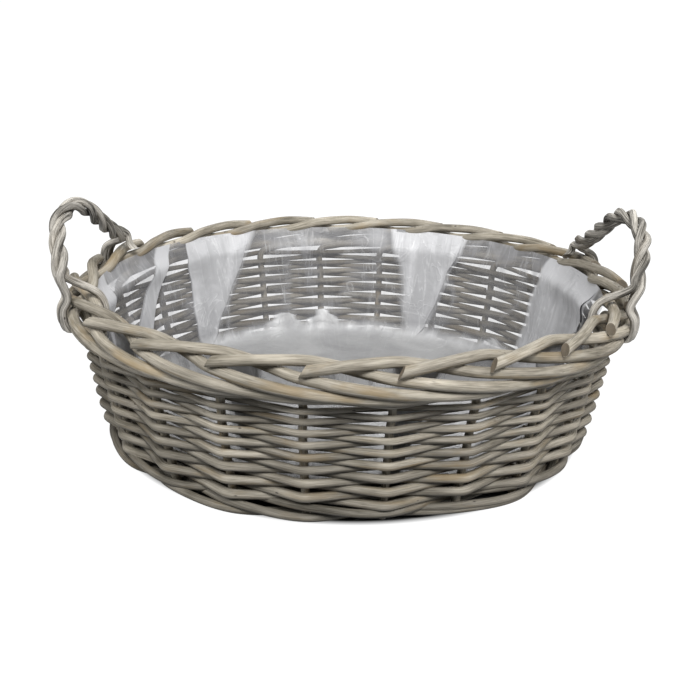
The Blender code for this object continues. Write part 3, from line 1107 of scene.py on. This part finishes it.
class TRAY_OT_stakes(bpy.types.Operator):
    """Builds the side stakes, each laid down at the top as one rod of the border."""

    bl_idname = "willow_tray.stakes"
    bl_label = "Stakes and border"

    def execute(self, context):
        scene = context.scene
        wall, border = scene.tray_wall, scene.tray_border
        finish = plain_willow(scene.tray_finish)
        for index in range(STAKES):
            rng = draws("stake", index)
            path = smooth_path(stake_keys(wall, border, index))
            bend = wall.stake_top
            share = np.clip((lengths_along(path) - bend) / (bend / 2), 0, 1)
            diameter = wall.stake_diameter + (border.rod_diameter - wall.stake_diameter) * share
            made = rod(
                path,
                diameter * rng.uniform(*STAKE_THICKNESS_SHARES),
                rng,
                outward_at(stake_angle(index)),
                taper=STAKE_TAPER,
                slants=(FOOT_SLANT_SHARE, rng.uniform(*TIP_SLANT_SHARES)),
                cut_side=rng.uniform(*TIP_CUT_SIDES),
                shade=STAKE_SHADE,
            )
            piece = rod_mesh(f"willow_stake_{index + 1:02d}", [made])
            dress(piece, finish, "willow", f"stake_{index + 1:02d}")
        return {"FINISHED"}


def row_rods(wall, border, weave, row, z, pitch):
    """The rods of one row, in front of one stake and behind the next.

    A rod is flatter where it crosses between two stakes. It is darker behind a stake and near the foot,
    which is painted shade for the shadow that falls there:
    shade = all + foot · (row / rows)^3 + behind · (1 - zigzag) / 2.
    """
    rng = draws("weaver", row)
    diameter = pitch * weave.fullness
    away = wall.stake_diameter / 2 + diameter / 2
    gap = end_gap(wall)
    first = ROW_SHIFT * row + (row + 1) % 2
    rods = []
    for number, (start, end) in enumerate(zip(ROW_JOINS, ROW_JOINS[1:])):
        start, end = first + start, first + end
        stakes = np.arange(start, end + 1)
        level = z + row_waver(stakes, weave, z) + (weave.top_lift if row == 0 else 0)
        level = level + rng.uniform(-1, 1, len(stakes)) * HAND_WAVER
        side = np.where((stakes + row) % 2 == 0, away + FRONT_ROOM, -away)
        corners = place(wall_radius(wall, border, level) + side, stake_angle(stakes), level)
        x = np.linspace(start + gap, end - gap, (end - start) * STEPS_A_STAKE + 1)
        swing = zigzag(x + row)
        tight = (1 - np.abs(swing)) ** TIGHT_POWER
        # A shift for the whole weave, with painted shade near the foot; painted shade behind each stake is
        # added below
        shade = WEAVE_SHADE + PAINTED_FOOT_SHADE * (row / ROWS) ** PAINTED_FOOT_SHADE_POWER
        rods.append(
            rod(
                woven_path(corners, x, start),
                diameter * rng.uniform(*WEAVER_THICKNESS_SHARES),
                rng,
                outward_at(stake_angle(start)),
                taper=WOVEN_TAPER * (1 if number % 2 else -1),
                pressed=1 - tight * (1 - 1 / weave.fullness),
                # Painted shade where the rod passes behind a stake, in the stake's shadow
                shade=shade + PAINTED_SHADE_BEHIND_STAKE * (1 - swing) / 2,
            )
        )
    return rods


class TRAY_OT_weavers(bpy.types.Operator):
    """Builds the rows of plain weave, each of three rods that meet behind stakes."""

    bl_idname = "willow_tray.weavers"
    bl_label = "Weavers"

    def execute(self, context):
        scene = context.scene
        wall, border, weave = scene.tray_wall, scene.tray_border, scene.tray_weave
        finish = plain_willow(scene.tray_finish)
        heights = [middle_height(f"weaver_{k + 1:02d}") for k in range(ROWS)]
        for k, (z, pitch) in enumerate(zip(heights, -np.gradient(heights))):
            rods = row_rods(wall, border, weave, k, z, pitch)
            piece = rod_mesh(f"willow_weaver_{k + 1:02d}", rods)
            dress(piece, finish, "willow", f"weaver_{k + 1:02d}")
        return {"FINISHED"}


class TRAY_OT_foot_wale(bpy.types.Operator):
    """Builds the three rods that bind the foot, in front of two stakes and behind one."""

    bl_idname = "willow_tray.foot_wale"
    bl_label = "Foot wale"

    def execute(self, context):
        scene = context.scene
        wall, border, weave = scene.tray_wall, scene.tray_border, scene.tray_weave
        finish = plain_willow(scene.tray_finish)
        diameter = weave.wale_diameter
        away = wall.stake_diameter / 2 + diameter / 2
        phase = np.arange(STAKES + 1) % WALES
        side = np.where(phase == 0, -away, away)
        side[-1] = -away
        for k in range(WALES):
            rng = draws("wale", k)
            lowest = k == 0
            seat = diameter * WALE_SEAT_SHARE + (weave.wale_slant if lowest else 0)
            z = max(middle_height(f"foot_wale_{k + 1}"), seat)
            first = WALE_SHIFT * k
            x = np.arange(first, first + STAKES + 1).astype(float)
            x[0] += end_gap(wall)
            x[-1] -= end_gap(wall)
            dip = weave.wale_slant if lowest else weave.wale_dip
            drop = np.array([0.0, weave.wale_slant, -dip])[phase]
            level = z + drop + (0 if lowest else WALE_LIFT)
            path = smooth_path(place(wall_radius(wall, border, z) + side, stake_angle(x), level))
            start = outward_at(stake_angle(first))
            # The wale is darkened with painted shade, for the shadow at the foot
            made = rod(path, diameter, rng, start, taper=WOVEN_TAPER, shade=PAINTED_WALE_SHADE)
            piece = rod_mesh(f"willow_wale_{k + 1}", [made])
            dress(piece, finish, "willow", f"foot_wale_{k + 1}")
        return {"FINISHED"}


def base_lift(base, radius):
    """How far a floor rod's middle lies over or under a stick: level · arc / sqrt(arc^2 - 4 level^2)."""
    level = base.stick_diameter / 2 + base.rod_diameter / 2
    arc = radius * math.tau / RAYS
    return level * arc / np.sqrt(arc**2 - 4 * level**2)


def stick_path(base, reach, turn, side):
    """A base stick's line: from its end to the fan's start, past the crossing, and the same beyond it."""
    ray = side * math.tau / RAYS
    lift = (-1 if turn == 0 else 1) * base.stick_diameter / 2
    crossing = base.stick_spread / math.tan(abs(ray)) if side else base.stick_spread
    half_line = np.array(
        [
            (reach * math.sin(ray), reach * math.cos(ray), base.height),
            (base.fan_radius * math.sin(ray), base.fan_radius * math.cos(ray), base.height),
            (side * base.stick_spread, crossing, base.height + lift),
        ]
    )
    keys = np.vstack([half_line, half_line[::-1] * (1, -1, 1)])
    return smooth_path(keys @ np.array(Matrix.Rotation(turn, 3, "Z")).T)


class TRAY_OT_base(bpy.types.Operator):
    """Builds the floor: six sticks crossed and fanned out, and two rods wound round them."""

    bl_idname = "willow_tray.base"
    bl_label = "Base"

    def execute(self, context):
        base = context.scene.tray_base
        finish = plain_willow(context.scene.tray_finish)
        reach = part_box("base_stick_2")[1].y
        sticks = [(turn, side) for turn in (0, math.pi / 2) for side in (-1, 0, 1)]
        for number, (turn, side) in enumerate(sticks, 1):
            rng = draws("base stick", number)
            made = rod(stick_path(base, reach, turn, side), base.stick_diameter, rng, (0, 0, 1))
            piece = rod_mesh(f"willow_base_stick_{number}", [made])
            dress(piece, finish, "willow", f"base_stick_{number}")
        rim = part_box("base_weaver_2")[1].x - base.rod_diameter / 2
        starts = (base.weave_from, base.weave_from + base.row_pitch)
        for k, (start, outer) in enumerate(zip(starts, (rim - base.row_pitch, rim))):
            rng = draws("base weaver", k)
            turns = (outer - start) / base.row_pitch / 2 + k / 2
            angle = np.linspace(0, math.tau * turns, int(turns * RAYS * STEPS_A_RAY))
            radius = np.minimum(start + base.row_pitch * angle / math.pi, outer)
            up = -base_lift(base, radius) * zigzag(angle / (math.tau / RAYS) + k)
            path = smooth_path(place(radius, angle, base.height + up), 2 * RING_SPACING)
            made = rod(path, base.rod_diameter, rng, (0, 0, 1))
            piece = rod_mesh(f"willow_base_weaver_{k + 1}", [made])
            dress(piece, finish, "willow", f"base_weaver_{k + 1}")
        return {"FINISHED"}


def handle_foot(handles, border, end, strand, side):
    """The keys of a strand's end, wrapped round the border from where the rope stops."""
    angle = math.atan2(end[0], -end[1])
    outwards = outward_at(angle)
    along = np.array([math.cos(angle), math.sin(angle), 0.0])
    shares = WRAP_INSIDE_SHARES if strand == 0 else WRAP_OUTSIDE_SHARES
    if strand == 0 and side > 0:
        shares = shares[:BACK_INSIDE_POINTS]
    degrees, share = np.array(shares, float).T
    turn, far = np.radians(degrees), border.size * share
    aside = handles.wrap_spread * (0, 1, -1)[strand] * side
    middle = outwards[None] * (border.radius + far * np.cos(turn))[:, None] + along * aside
    middle[:, 2] += border.height + far * np.sin(turn)
    return middle


def strand_path(handles, border, mirror, strand, rng):
    """A strand's middle line: its front foot, its helix about the arch and its back foot.

    A point of the helix is arch + rope radius (cos w · outwards + sin w · across), where w makes the
    rope's turns from one foot to the other. The strands are a third of a turn apart.
    """
    out, along, up = np.array(HANDLE_ARCH_SHARES).T
    height = border.height + handles.rise * up
    arch = smooth_path(np.stack([mirror * handles.reach * out, handles.half_span * along, height], axis=1))
    tangent = unit_vectors(np.gradient(arch, axis=0))
    outwards = unit_vectors(np.array([mirror, 0.0, 0.0]) - tangent * (mirror * tangent[:, :1]))
    across = np.cross(tangent, outwards)
    t = np.linspace(0, 1, len(arch))
    turn = math.pi + math.tau * (strand / STRANDS + handles.turns * t)
    turn = (turn + wander(t * ROPE_WAVES, rng, ROPE_TURN))[:, None]
    away = (handles.rope_radius * (1 + wander(t * LOOSE_WAVES, rng, LOOSE_SHARE)))[:, None]
    helix = arch + away * (np.cos(turn) * outwards + np.sin(turn) * across)
    front = handle_foot(handles, border, arch[0], strand, -1)[::-1]
    back = handle_foot(handles, border, arch[-1], strand, 1)
    last = len(helix) - HELIX_POINTS_LEFT_OUT
    kept = np.linspace(HELIX_POINTS_LEFT_OUT, last, len(helix) // HELIX_POINTS_A_KEY).astype(int)
    return smooth_path(np.vstack([front, helix[kept], back]), STRAND_SPACING)


class TRAY_OT_handles(bpy.types.Operator):
    """Builds the strands of both handles, each ridged like a few split rods laid together."""

    bl_idname = "willow_tray.handles"
    bl_label = "Handles"

    def execute(self, context):
        scene = context.scene
        handles, border = scene.tray_handles, scene.tray_border
        finish = handle_willow(scene.tray_finish)
        for side_name, mirror, seeds in (("left", -1, 0), ("right", 1, RIGHT_HANDLE_SEEDS)):
            for strand in range(STRANDS):
                rng = draws("strand", strand + seeds)
                made = rod(
                    strand_path(handles, border, mirror, strand, rng),
                    handles.strand_diameter * rng.uniform(*STRAND_THICKNESS_SHARES),
                    rng,
                    (mirror, 0, 0),
                    slants=(rng.uniform(*STRAND_SLANT_SHARES), rng.uniform(*STRAND_SLANT_SHARES)),
                    lobes=STRAND_LOBES,
                    sides=STRAND_SIDES,
                )
                piece = rod_mesh(f"{side_name}_handle_strand_rods_{strand + 1}", [made])
                dress(piece, finish, "handle_willow", f"{side_name}_handle_strand_{strand + 1}")
        return {"FINISHED"}


# The lining

# Its section: its distance inside the stakes and its points
LINING_INSET = 0.0078
LINING_TOP_INSET = 0.0004
TUCK_OUT = 0.0010
TUCK_UP = 0.0030
PROFILE_POINTS = 110
CORNER_POINTS = 8
WALL_POINTS = 7
MEAN_RADIUS = 0.16

# The pleats: where they open before the corner as a share of its radius, how they stray, their columns
# and the turns between their passes, and the angle that a whole pleat takes up on the floor
PLEAT_START_SHARE = 1.3
PLEAT_DRIFT = 0.012
PLEAT_DRIFT_WAVES = 0.9
PLEAT_WAVER_SHARE = 0.08
PLEAT_LEAST_RADIUS = 0.12
PASSES = 3
PASS_COLUMNS = 48
GAP_COLUMNS = 22
PLEAT_FLOOR_ANGLE = 0.012
TURN_FROM_SHARES = (0.27, 0.61)
TURN_WIDTH_SHARE = 0.12
TURN_ROUNDNESS = 0.7
FALL_BACK_SHARE = 0.5

# The creases: how many waves, and the size of a crease on the wall and on the floor
WALL_CREASES = (8, 0.009)
FLOOR_CREASES = (9, 0.014)
WALL_FALL_SHARE = 0.5
CREASE_SIZE_SHARES = (0.5, 1.6)
CREASE_BEND = 0.6
CREASE_BEND_PACE = 0.7
CREASE_BEND_TURN = 1
WALL_CREASE_HEIGHT = 0.0026
OFF_WALL = 0.0002
CALM_RADIUS = 0.02
CALM_SHARE = 0.2

# The free edge and the crumples that sag under it
EDGE_ZONE = 0.010
SAG_BELOW = 0.012
SAG_WIDTH = 0.008
SAG_HEIGHT = 0.0045

# The tents that bridge the corner
BRIDGE_BEFORE = 0.008
BRIDGE_WIDTH = 0.013
BRIDGE_POWER = 1.6
TENT_POWER = 1.1
RIPPLES = 9
RIPPLE_SHARE = 0.06
TENT_INWARDS_SHARE = 0.5
STANDS_FROM_SHARE = 0.45
STANDS_SLOPE = 10

# How milky the film is on the floor, in a pleat, in a crumple, which on the side walls is partly
# painted reflection, and along its edge
FLOOR_MILK = 0.85
PLEAT_MILK = 0.36
PLEAT_MILK_RISE = 0.14
CRUMPLE_AND_SHEEN_MILK = 0.06
EDGE_MILK = 0.26
EDGE_FADE = 1.3
EDGE_EVEN_SHARE = 0.6
EDGE_BAND = 0.007
EDGE_BAND_CRUMPLED = 0.012
EDGE_BAND_CREASED = 0.004
LAYER_SHIFT = 0.004


class TRAY_OT_lining(bpy.types.Operator):
    """Builds the clear lining: a round sheet pressed in, with its spare width in folded pleats."""

    bl_idname = "willow_tray.lining"
    bl_label = "Lining"

    def execute(self, context):
        scene = context.scene
        lining = scene.tray_lining
        piece = lining_sheet(lining, scene.tray_wall, scene.tray_border)
        dress(piece, film_material(scene.tray_finish), "clear_film", "lining")
        return {"FINISHED"}


def lining_profile(lining, wall, border):
    """The lining's section as evenly spaced radii and heights, from the middle to the top edge."""
    low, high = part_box("lining")
    floor_z = low.z
    corner_z = floor_z + lining.corner
    wall_r = float(wall_radius(wall, border, corner_z)) - LINING_INSET
    under = border.height - border.size
    turn = np.linspace(0, math.pi / 2, CORNER_POINTS + 1)[1:]
    z = np.linspace(corner_z, under, WALL_POINTS + 1)[1:]
    keys = np.array(
        [
            (0.0, floor_z),
            (wall_r - lining.corner, floor_z),
            *zip(wall_r - lining.corner * (1 - np.sin(turn)), corner_z - lining.corner * np.cos(turn)),
            *zip(wall_radius(wall, border, z) - LINING_INSET, z),
            (high.x - LINING_TOP_INSET, high.z),
            (high.x + TUCK_OUT, high.z + TUCK_UP),
        ]
    )
    along = lengths_along(keys)
    even = np.linspace(0, along[-1], PROFILE_POINTS)
    return np.interp(even, along, keys[:, 0]), np.interp(even, along, keys[:, 1]), even


def fold(t):
    """One pass forwards, one back and one forwards: -1/2 to 1/2 to -1/2 to 1/2, with rounded turns.

    It is 1/2 · sign(-c) · |c|^roundness, where c = cos(3 pi t).
    """
    swing = np.cos(PASSES * math.pi * t)
    return 0.5 * np.sign(-swing) * np.abs(swing) ** TURN_ROUNDNESS


def creases(x, y, rng, count, cell):
    """A crumpled surface, 0 to about 1: a sum of folded waves 1 - |sin| in random directions."""
    total = np.zeros_like(x)
    for _ in range(count):
        heading, phase = rng.uniform(0, math.tau), rng.uniform(0, math.tau)
        size = rng.uniform(*CREASE_SIZE_SHARES)
        aside = heading + CREASE_BEND_TURN
        bend = (x * math.cos(aside) + y * math.sin(aside)) / cell / size * CREASE_BEND_PACE
        wave = (x * math.cos(heading) + y * math.sin(heading)) / cell / size
        wave = np.sin(wave + phase + CREASE_BEND * np.sin(bend + phase))
        total += (1 - np.abs(wave)) * size
    return total / count


def bells(angle, shares, power=2):
    """The highest of one bell for each place in a table: share · exp(-|angle from it / spread|^power)."""
    total = np.zeros_like(angle)
    for centre, spread, share in shares:
        off = (np.degrees(angle) - centre + 180) % 360 - 180
        total = np.maximum(total, share * np.exp(-np.abs(off / spread) ** power))
    return total


def pleat_columns(lining, radius, up, ramp, rng):
    """The film's columns round the tray: their angle, their layer and whether they are in a pleat.

    A pleat adds three passes of columns: forwards, back and forwards across its width, each pass a
    layer further in. Its width and its place go evenly from the foot of the wall to the top edge, and
    on the floor its columns lie side by side. The film between two pleats falls back to the wall.
    """
    top, foot, wide, narrow = np.array(PLEAT_SHARES, float).T
    count, rows = len(PLEAT_SHARES), len(radius)
    middles, widths = [], []
    for k in range(count):
        drift = wander(up * PLEAT_DRIFT_WAVES, rng, PLEAT_DRIFT) * up
        middles.append(np.radians(foot[k] + (top[k] - foot[k]) * up) + drift)
        breadth = lining.pleat * (narrow[k] + (wide[k] - narrow[k]) * up)
        breadth = breadth * (1 + wander(up, rng, PLEAT_WAVER_SHARE))
        widths.append(breadth / np.maximum(radius, PLEAT_LEAST_RADIUS))
    t = ((np.arange(PASS_COLUMNS) + 0.5) / PASS_COLUMNS)[:, None]
    g = ((np.arange(GAP_COLUMNS) + 1) / (GAP_COLUMNS + 1))[:, None]
    flat = (1 - ramp) * PLEAT_FLOOR_ANGLE
    taken = [ramp * width + flat for width in widths]
    further_in = sum(np.clip((t - start) / TURN_WIDTH_SHARE, 0, 1) for start in TURN_FROM_SHARES)
    back_out = len(TURN_FROM_SHARES) * np.clip(1 - g / FALL_BACK_SHARE, 0, 1) ** 2
    angles, layers, pleated = [], [], []
    for k in range(count):
        angles.append(middles[k] + ramp * fold(t) * widths[k] + flat * (t - 0.5))
        layers.append(np.broadcast_to(further_in, (PASS_COLUMNS, rows)))
        pleated.append(np.ones((PASS_COLUMNS, rows)))
        after = (k + 1) % count
        begin = middles[k] + taken[k] / 2
        end = middles[after] + (math.tau if after == 0 else 0) - taken[after] / 2
        angles.append(begin + (end - begin) * g)
        layers.append(np.broadcast_to(back_out, (GAP_COLUMNS, rows)))
        pleated.append(np.zeros((GAP_COLUMNS, rows)))
    return np.concatenate(angles), np.concatenate(layers), np.concatenate(pleated)


def lining_sheet(lining, wall, border):
    """The film as a grid of columns round the tray and rows from the middle to the top edge.

    Creases, crumples and the layers of the pleats move the film inwards from the wall, creases lift it
    from the floor, and tents bridge the corner between them, so it never goes into the willow. Milk is
    how clouded a point is, and laid is 1 where it lies on the floor or stands up in a tent.
    """
    rng = draws("lining")
    radius, height, along = lining_profile(lining, wall, border)
    corner = float(np.interp(height[0] + lining.corner, height, along))
    start = corner - lining.corner * PLEAT_START_SHARE
    up = np.clip((along - corner) / (along[-1] - corner), 0, 1)
    ramp = np.clip((along - start) / (corner - start), 0, 1)
    ramp = ramp**2 * (3 - 2 * ramp)
    angle, layer, pleated = pleat_columns(lining, radius, up, ramp, rng)
    x, y = radius * np.sin(angle), -radius * np.cos(angle)
    arc = angle * MEAN_RADIUS
    fall = np.broadcast_to(along, arc.shape)
    wall_crease = creases(arc, fall * WALL_FALL_SHARE, rng, *WALL_CREASES)
    floor_crease = creases(x, y, rng, *FLOOR_CREASES)
    below = along[-1] - math.hypot(TUCK_OUT, TUCK_UP) - along
    edge_free = np.clip(below / EDGE_ZONE, 0, 1)
    sag = np.exp(-(((below - SAG_BELOW) / SAG_WIDTH) ** 2))
    # Where the film is crumpled; on the side walls this also makes it milkier, as painted reflection of film
    # seen edge-on
    crumple_and_sheen = bells(angle, CRUMPLED_AND_SHEEN_SHARES)
    inwards = WALL_CREASE_HEIGHT * wall_crease + SAG_HEIGHT * sag * crumple_and_sheen + lining.layer_gap * layer
    inwards = (OFF_WALL + inwards * edge_free) * ramp
    bridge = np.exp(-np.abs((along - corner + BRIDGE_BEFORE) / BRIDGE_WIDTH) ** BRIDGE_POWER)
    tent = bridge * (bells(angle, TENT_SHARES, TENT_POWER) + RIPPLE_SHARE * (1 + np.sin(RIPPLES * angle)))
    stands = np.clip(STANDS_SLOPE * (tent - STANDS_FROM_SHARE), 0, 1)
    calm = np.clip(radius / CALM_RADIUS, CALM_SHARE, 1)
    rise = lining.crumple * floor_crease * (1 - ramp) * calm + lining.tent * tent
    far = radius - inwards - TENT_INWARDS_SHARE * lining.tent * tent
    band = EDGE_BAND + EDGE_BAND_CRUMPLED * crumple_and_sheen + EDGE_BAND_CREASED * wall_crease
    edge = np.clip(EDGE_FADE - below / band, 0, 1) * (EDGE_EVEN_SHARE + (1 - EDGE_EVEN_SHARE) * crumple_and_sheen)
    milk = CRUMPLE_AND_SHEEN_MILK * crumple_and_sheen + pleated * (PLEAT_MILK + PLEAT_MILK_RISE * up) + EDGE_MILK * edge
    milk = np.maximum(FLOOR_MILK * (1 - ramp) + ramp * milk, FLOOR_MILK * stands)
    values = {
        "milk": milk[:, 1:],
        "laid": np.maximum(1 - ramp, stands)[:, 1:],
        "across": (arc + LAYER_SHIFT * layer)[:, 1:],
        "fall": fall[:, 1:],
    }
    grid = place(far, angle, height + rise)
    return sheet_mesh("clear_lining", grid[:, 1:], along[1:], values, height[0])


def sheet_mesh(name, grid, along, values, floor_z):
    """A disc of film: columns that close round the tray, and one point in the middle of the floor.

    Its map is the flat round sheet in metres: distance from the middle times cos and sin of the turn.
    """
    columns, rows = grid.shape[:2]
    column = np.arange(columns)[:, None]
    row = np.arange(rows - 1)[None]
    after = (column + 1) % columns
    quads = np.stack(
        [column * rows + row, after * rows + row, after * rows + row + 1, column * rows + row + 1], axis=-1
    ).reshape(-1, 4)
    pole = columns * rows
    triangles = np.stack([np.full(columns, pole), after[:, 0] * rows, column[:, 0] * rows], axis=-1)
    points = np.concatenate([grid.reshape(-1, 3), [[0, 0, floor_z]]])
    turn = math.tau * np.arange(columns) / columns
    flat = np.stack([along[None] * np.cos(turn)[:, None], along[None] * np.sin(turn)[:, None]], axis=-1)
    flat = np.concatenate([flat.reshape(-1, 2), [[0, 0]]])
    corners = np.concatenate([quads.ravel(), triangles.ravel()])
    values = {key: np.concatenate([each.ravel(), each[:1, 0]]) for key, each in values.items()}
    return surface(name, points, quads, triangles, flat[corners], values)


# The stage

FLOOR_WIDTH = 60.0
FLOOR_GLOW = 1.0
FLOOR_ROUGHNESS = 0.9
# Radii between which the floor goes from the shade under the tray to its glow
SHADE_RADII = (0.146, 0.152)
ROOM_COLOUR = (0.96, 0.98, 1.0, 1)
# How bright the room is as a light, and as the camera sees it
ROOM_LIGHT = 0.13
ROOM_SEEN = 1.06
# Each light's kind, place, size (for the sun, an angle) and power
LIGHTS = {
    "key_light": ("SUN", (0.10, -0.88, 1.1), math.radians(22), 3.45),
    "left_light": ("AREA", (-1.1, -0.5, 0.7), 0.5, 8.0),
    "right_light": ("AREA", (1.1, -0.5, 0.7), 0.5, 8.0),
    "back_light": ("AREA", (0.2, 1.2, 0.9), 0.5, 8.0),
}
CAMERA_PLACE = (0.0013, -0.750, 0.304)
CAMERA_DOWN = math.radians(18.63)
CAMERA_ROLL = math.radians(1.11)
CAMERA_LENS = 61.8
CAMERA_NEAR = 0.01


def pale_floor(finish):
    """The floor: it glows white to the camera, is dark under the tray, and throws back a little light."""
    bpy.ops.mesh.primitive_plane_add(size=FLOOR_WIDTH)
    floor = bpy.context.object
    floor.name = "pale_floor"
    made, tree, shader = empty_material("pale_floor")
    seen = node(tree, "ShaderNodeLightPath").outputs["Is Camera Ray"]
    spot = node(tree, "ShaderNodeTexCoord").outputs["Object"]
    away = node(tree, "ShaderNodeVectorMath", {0: spot}, operation="LENGTH").outputs["Value"]
    away = remap(tree, away, *SHADE_RADII)
    shown = mix(tree, away, (*finish.floor_under, 1), (*finish.floor, 1))
    colour = mix(tree, seen, (*finish.floor_bounce, 1), shown)
    tree.links.new(colour, shader.inputs["Base Color"])
    glow = times(tree, times(tree, seen, away), FLOOR_GLOW)
    tree.links.new(glow, shader.inputs["Emission Strength"])
    shader.inputs["Emission Color"].default_value = WHITE
    shader.inputs["Roughness"].default_value = FLOOR_ROUGHNESS
    shader.inputs["Specular IOR Level"].default_value = 0.0
    floor.data.materials.append(made)


def soft_room(scene):
    """The world: dim as a light, and white to the camera."""
    world = bpy.data.worlds.new("soft_room")
    world.use_nodes = True
    tree = world.node_tree
    background = tree.nodes["Background"]
    background.inputs["Color"].default_value = ROOM_COLOUR
    seen = node(tree, "ShaderNodeLightPath").outputs["Is Camera Ray"]
    tree.links.new(remap(tree, seen, 0.0, 1.0, ROOM_LIGHT, ROOM_SEEN), background.inputs["Strength"])
    scene.world = world


def soft_lights(scene):
    """The lights, each turned towards the middle of the border."""
    for name, (kind, spot, size, power) in LIGHTS.items():
        lamp = bpy.data.lights.new(name, kind)
        if kind == "SUN":
            lamp.angle = size
        else:
            lamp.size = size
        lamp.energy = power
        holder = bpy.data.objects.new(name, lamp)
        holder.location = spot
        aim = -holder.location
        aim.z += scene.tray_border.height
        holder.rotation_euler = aim.to_track_quat("-Z", "Y").to_euler()
        scene.collection.objects.link(holder)


def photo_camera(scene):
    """The camera, where the photograph was taken from."""
    camera = bpy.data.cameras.new("photo_camera")
    camera.lens = CAMERA_LENS
    camera.clip_start = CAMERA_NEAR
    holder = bpy.data.objects.new("photo_camera", camera)
    tilt = Matrix.Rotation(math.pi / 2 - CAMERA_DOWN, 4, "X") @ Matrix.Rotation(CAMERA_ROLL, 4, "Z")
    holder.matrix_world = Matrix.Translation(CAMERA_PLACE) @ tilt
    scene.collection.objects.link(holder)
    scene.camera = holder


class TRAY_OT_stage(bpy.types.Operator):
    """Builds the pale floor, the soft lights and the camera."""

    bl_idname = "willow_tray.stage"
    bl_label = "Stage"

    def execute(self, context):
        scene = context.scene
        pale_floor(scene.tray_finish)
        soft_room(scene)
        soft_lights(scene)
        photo_camera(scene)
        scene.view_settings.view_transform = "Standard"
        return {"FINISHED"}


class TRAY_PT_panel(bpy.types.Panel):
    """Lists the tray's pieces and their sizes in the sidebar."""

    bl_idname = "TRAY_PT_panel"
    bl_label = "Willow tray"
    bl_space_type = "VIEW_3D"
    bl_region_type = "UI"
    bl_category = "Willow tray"

    def draw(self, context):
        for operator in OPERATORS:
            self.layout.operator(operator.bl_idname)
        for key in SETTINGS:
            box = self.layout.box()
            settings = getattr(context.scene, key)
            for name in settings.__annotations__:
                box.prop(settings, name)


OPERATORS = (
    TRAY_OT_stage,
    TRAY_OT_stakes,
    TRAY_OT_weavers,
    TRAY_OT_foot_wale,
    TRAY_OT_base,
    TRAY_OT_handles,
    TRAY_OT_lining,
)
SETTINGS = {
    "tray_wall": TrayWall,
    "tray_weave": TrayWeave,
    "tray_border": TrayBorder,
    "tray_base": TrayBase,
    "tray_handles": TrayHandles,
    "tray_lining": TrayLining,
    "tray_finish": TrayFinish,
}


def register():
    """Registers the settings, the operators and the panel."""
    for made in (*SETTINGS.values(), *OPERATORS, TRAY_PT_panel):
        bpy.utils.register_class(made)
    for key, made in SETTINGS.items():
        setattr(bpy.types.Scene, key, PointerProperty(type=made))


def unregister():
    """Takes the settings, the operators and the panel away again."""
    for key in SETTINGS:
        delattr(bpy.types.Scene, key)
    for made in reversed((*SETTINGS.values(), *OPERATORS, TRAY_PT_panel)):
        bpy.utils.unregister_class(made)


def main():
    """Builds every piece."""
    register()
    bpy.ops.willow_tray.stage()
    bpy.ops.willow_tray.stakes()
    bpy.ops.willow_tray.weavers()
    bpy.ops.willow_tray.foot_wale()
    bpy.ops.willow_tray.base()
    bpy.ops.willow_tray.handles()
    bpy.ops.willow_tray.lining()


if __name__ == "__main__":
    main()
